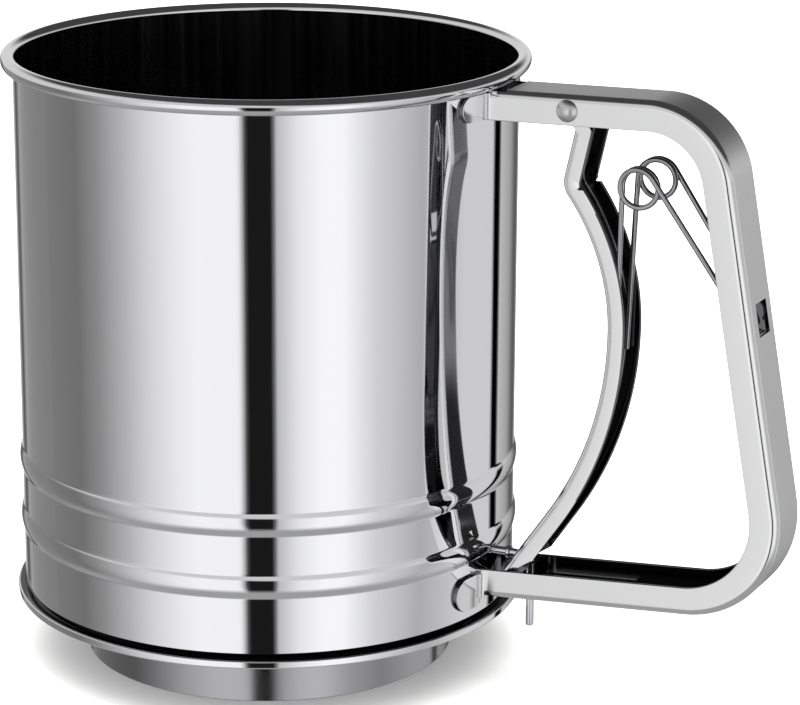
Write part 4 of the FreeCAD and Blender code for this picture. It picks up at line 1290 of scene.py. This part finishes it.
@dataclass
class Studio:
    """Floor, soft light and camera."""

    walls: tuple[Card, ...] = (
        Card(-180, -158, 0.24, 0.20), Card(-145, -130, 0.32, 0.56), Card(-117, -104, 0.82, 1.03),
        Card(-94, -75, 1.14, 1.12), Card(-71.5, -59.5, 0.012, 0.012), Card(-58, -48, 0.62, 1.00),
        Card(-38, -28, 1.18, 1.18), Card(-12, 12, 0.80, 0.52), Card(40, 62, 0.76, 0.74),
        Card(64.5, 70, 0.0, 0.0), Card(71.5, 84, 0.60, 0.42), Card(93, 99, 0.14, 0.10),
        Card(112, 130, 0.62, 0.66), Card(138.5, 142, 0.12, 0.12), Card(147.5, 151, 0.42, 0.34),
        Card(158, 174, 0.30, 0.26),
    )
    backdrop: Panel = Panel((0.0, 0.15, 1.0), (0.02, 0.14), (0.0, 1.0), 0.74)
    ceiling: Panel = Panel((0.15, 0.3, 1.0), (0.38, 0.62), (0.0, 1.0), 0.06)
    table: Panel = Panel((0.0, 0.0, 1.0), (-0.75, -0.46), (1.0, 0.0), 0.42)
    fill: float = 1.7
    softbox_size: float = 2.6
    softbox_watts: float = 60.0
    softbox_height: float = 2.2
    camera_at: tuple[float, float, float] = (302.2, -563.6, 245.1)
    azimuth: float = 28.2
    pitch: float = 0.2808
    yaw: float = 0.0417
    roll: float = 0.0055
    lens_mm: float = 147.7

    def world(self) -> None:
        """Lights the sifter with soft cards all round it, and two dark ones that draw the lines on the cup."""
        world = bpy.data.worlds.new("studio")
        bpy.context.scene.world = world
        world.use_nodes = True
        tree = world.node_tree
        tree.nodes.clear()
        way = add_node(tree, "ShaderNodeTexCoord")
        around = add_node(tree, "ShaderNodeTexGradient", {"gradient_type": "RADIAL"},
                          {"Vector": way.outputs["Generated"]})
        ramp = add_node(tree, "ShaderNodeValToRGB", inputs={"Fac": around.outputs["Fac"]})
        stops = [(place / 360 + 0.5, glow) for card in self.walls
                 for place, glow in ((card.start, card.glow_start), (card.end, card.glow_end))]
        elements = ramp.color_ramp.elements
        while len(elements) < len(stops):
            elements.new(0.5)
        for element, (place, glow) in zip(elements, stops):
            element.position = place
            element.color = grey(glow)
        light = ramp.outputs["Color"]
        for panel in (self.backdrop, self.ceiling, self.table):
            along = add_node(tree, "ShaderNodeVectorMath", {"operation": "DOT_PRODUCT"}, {
                0: way.outputs["Generated"], 1: panel.slope})
            share = add_node(tree, "ShaderNodeMapRange", {"interpolation_type": "SMOOTHSTEP"}, {
                "Value": along.outputs["Value"], "From Min": panel.fade[0], "From Max": panel.fade[1],
                "To Min": panel.shares[0], "To Max": panel.shares[1]})
            light = add_node(tree, "ShaderNodeMix", {"data_type": "RGBA"}, {
                0: share.outputs["Result"], 6: light, 7: grey(panel.glow)}).outputs[2]
        seen = add_node(tree, "ShaderNodeLightPath")
        for ray, glow in (("Is Diffuse Ray", self.fill), ("Is Camera Ray", 1.0)):
            light = add_node(tree, "ShaderNodeMix", {"data_type": "RGBA"}, {
                0: seen.outputs[ray], 6: light, 7: grey(glow)}).outputs[2]
        glow = add_node(tree, "ShaderNodeBackground", inputs={"Color": light, "Strength": 1.0})
        add_node(tree, "ShaderNodeOutputWorld", inputs={"Surface": glow.outputs["Background"]})

    def floor(self) -> None:
        """Makes the pale floor, and the soft light over it."""
        mesh = bmesh.new()
        bmesh.ops.create_grid(mesh, x_segments=8, y_segments=8, size=4000,
                              matrix=Matrix.Translation((0, 0, -0.05)))
        floor = mesh_object("floor", mesh)
        paper = bpy.data.materials.new("white_backdrop_paper")
        paper.use_nodes = True
        shader = paper.node_tree.nodes["Principled BSDF"]
        shader.inputs["Base Color"].default_value = linear("#F6F6F5")
        shader.inputs["Roughness"].default_value = 0.9
        floor.data.materials.append(paper)
        floor.visible_glossy = False
        light = bpy.data.lights.new("overhead_softbox", "AREA")
        light.shape, light.size, light.energy = "SQUARE", self.softbox_size, self.softbox_watts
        softbox = bpy.data.objects.new("overhead_softbox", light)
        softbox.location = (0, 0, self.softbox_height)
        softbox.visible_glossy = False
        bpy.context.scene.collection.objects.link(softbox)

    def camera(self) -> None:
        """Sets the camera up."""
        data = bpy.data.cameras.new("camera")
        data.lens, data.sensor_width, data.clip_start, data.clip_end = self.lens_mm, 36.0, 0.01, 50.0
        view = bpy.data.objects.new("camera", data)
        ahead = Vector((math.sin(self.yaw) * math.cos(self.pitch), math.cos(self.yaw) * math.cos(self.pitch),
                        -math.sin(self.pitch)))
        right = Vector((math.cos(self.yaw), -math.sin(self.yaw), 0))
        above = right.cross(ahead)
        tilted_right = right * math.cos(self.roll) + above * math.sin(self.roll)
        tilted_above = above * math.cos(self.roll) - right * math.sin(self.roll)
        facing = Matrix((tilted_right, tilted_above, -ahead)).transposed()
        turned = Matrix.Rotation(math.radians(self.azimuth), 3, "Z") @ facing
        view.matrix_world = Matrix.Translation(Vector(self.camera_at) * MM) @ turned.to_4x4()
        bpy.context.scene.collection.objects.link(view)
        bpy.context.scene.camera = view

    def build(self) -> None:
        """Makes all of it."""
        self.world()
        self.floor()
        self.camera()
        bpy.context.scene.view_settings.view_transform = "Standard"


def main() -> None:
    """Builds the studio and every piece."""
    Studio().build()
    for assembly in (Cup(), Screen(), Handle(), Trigger(), Rivet(), ReturnSpring(), DriveRod(), AgitatorArms()):
        log.info("building %s", type(assembly).__name__)
        assembly.build()
    dress_kept_pieces()


if __name__ == "__main__":
    main()
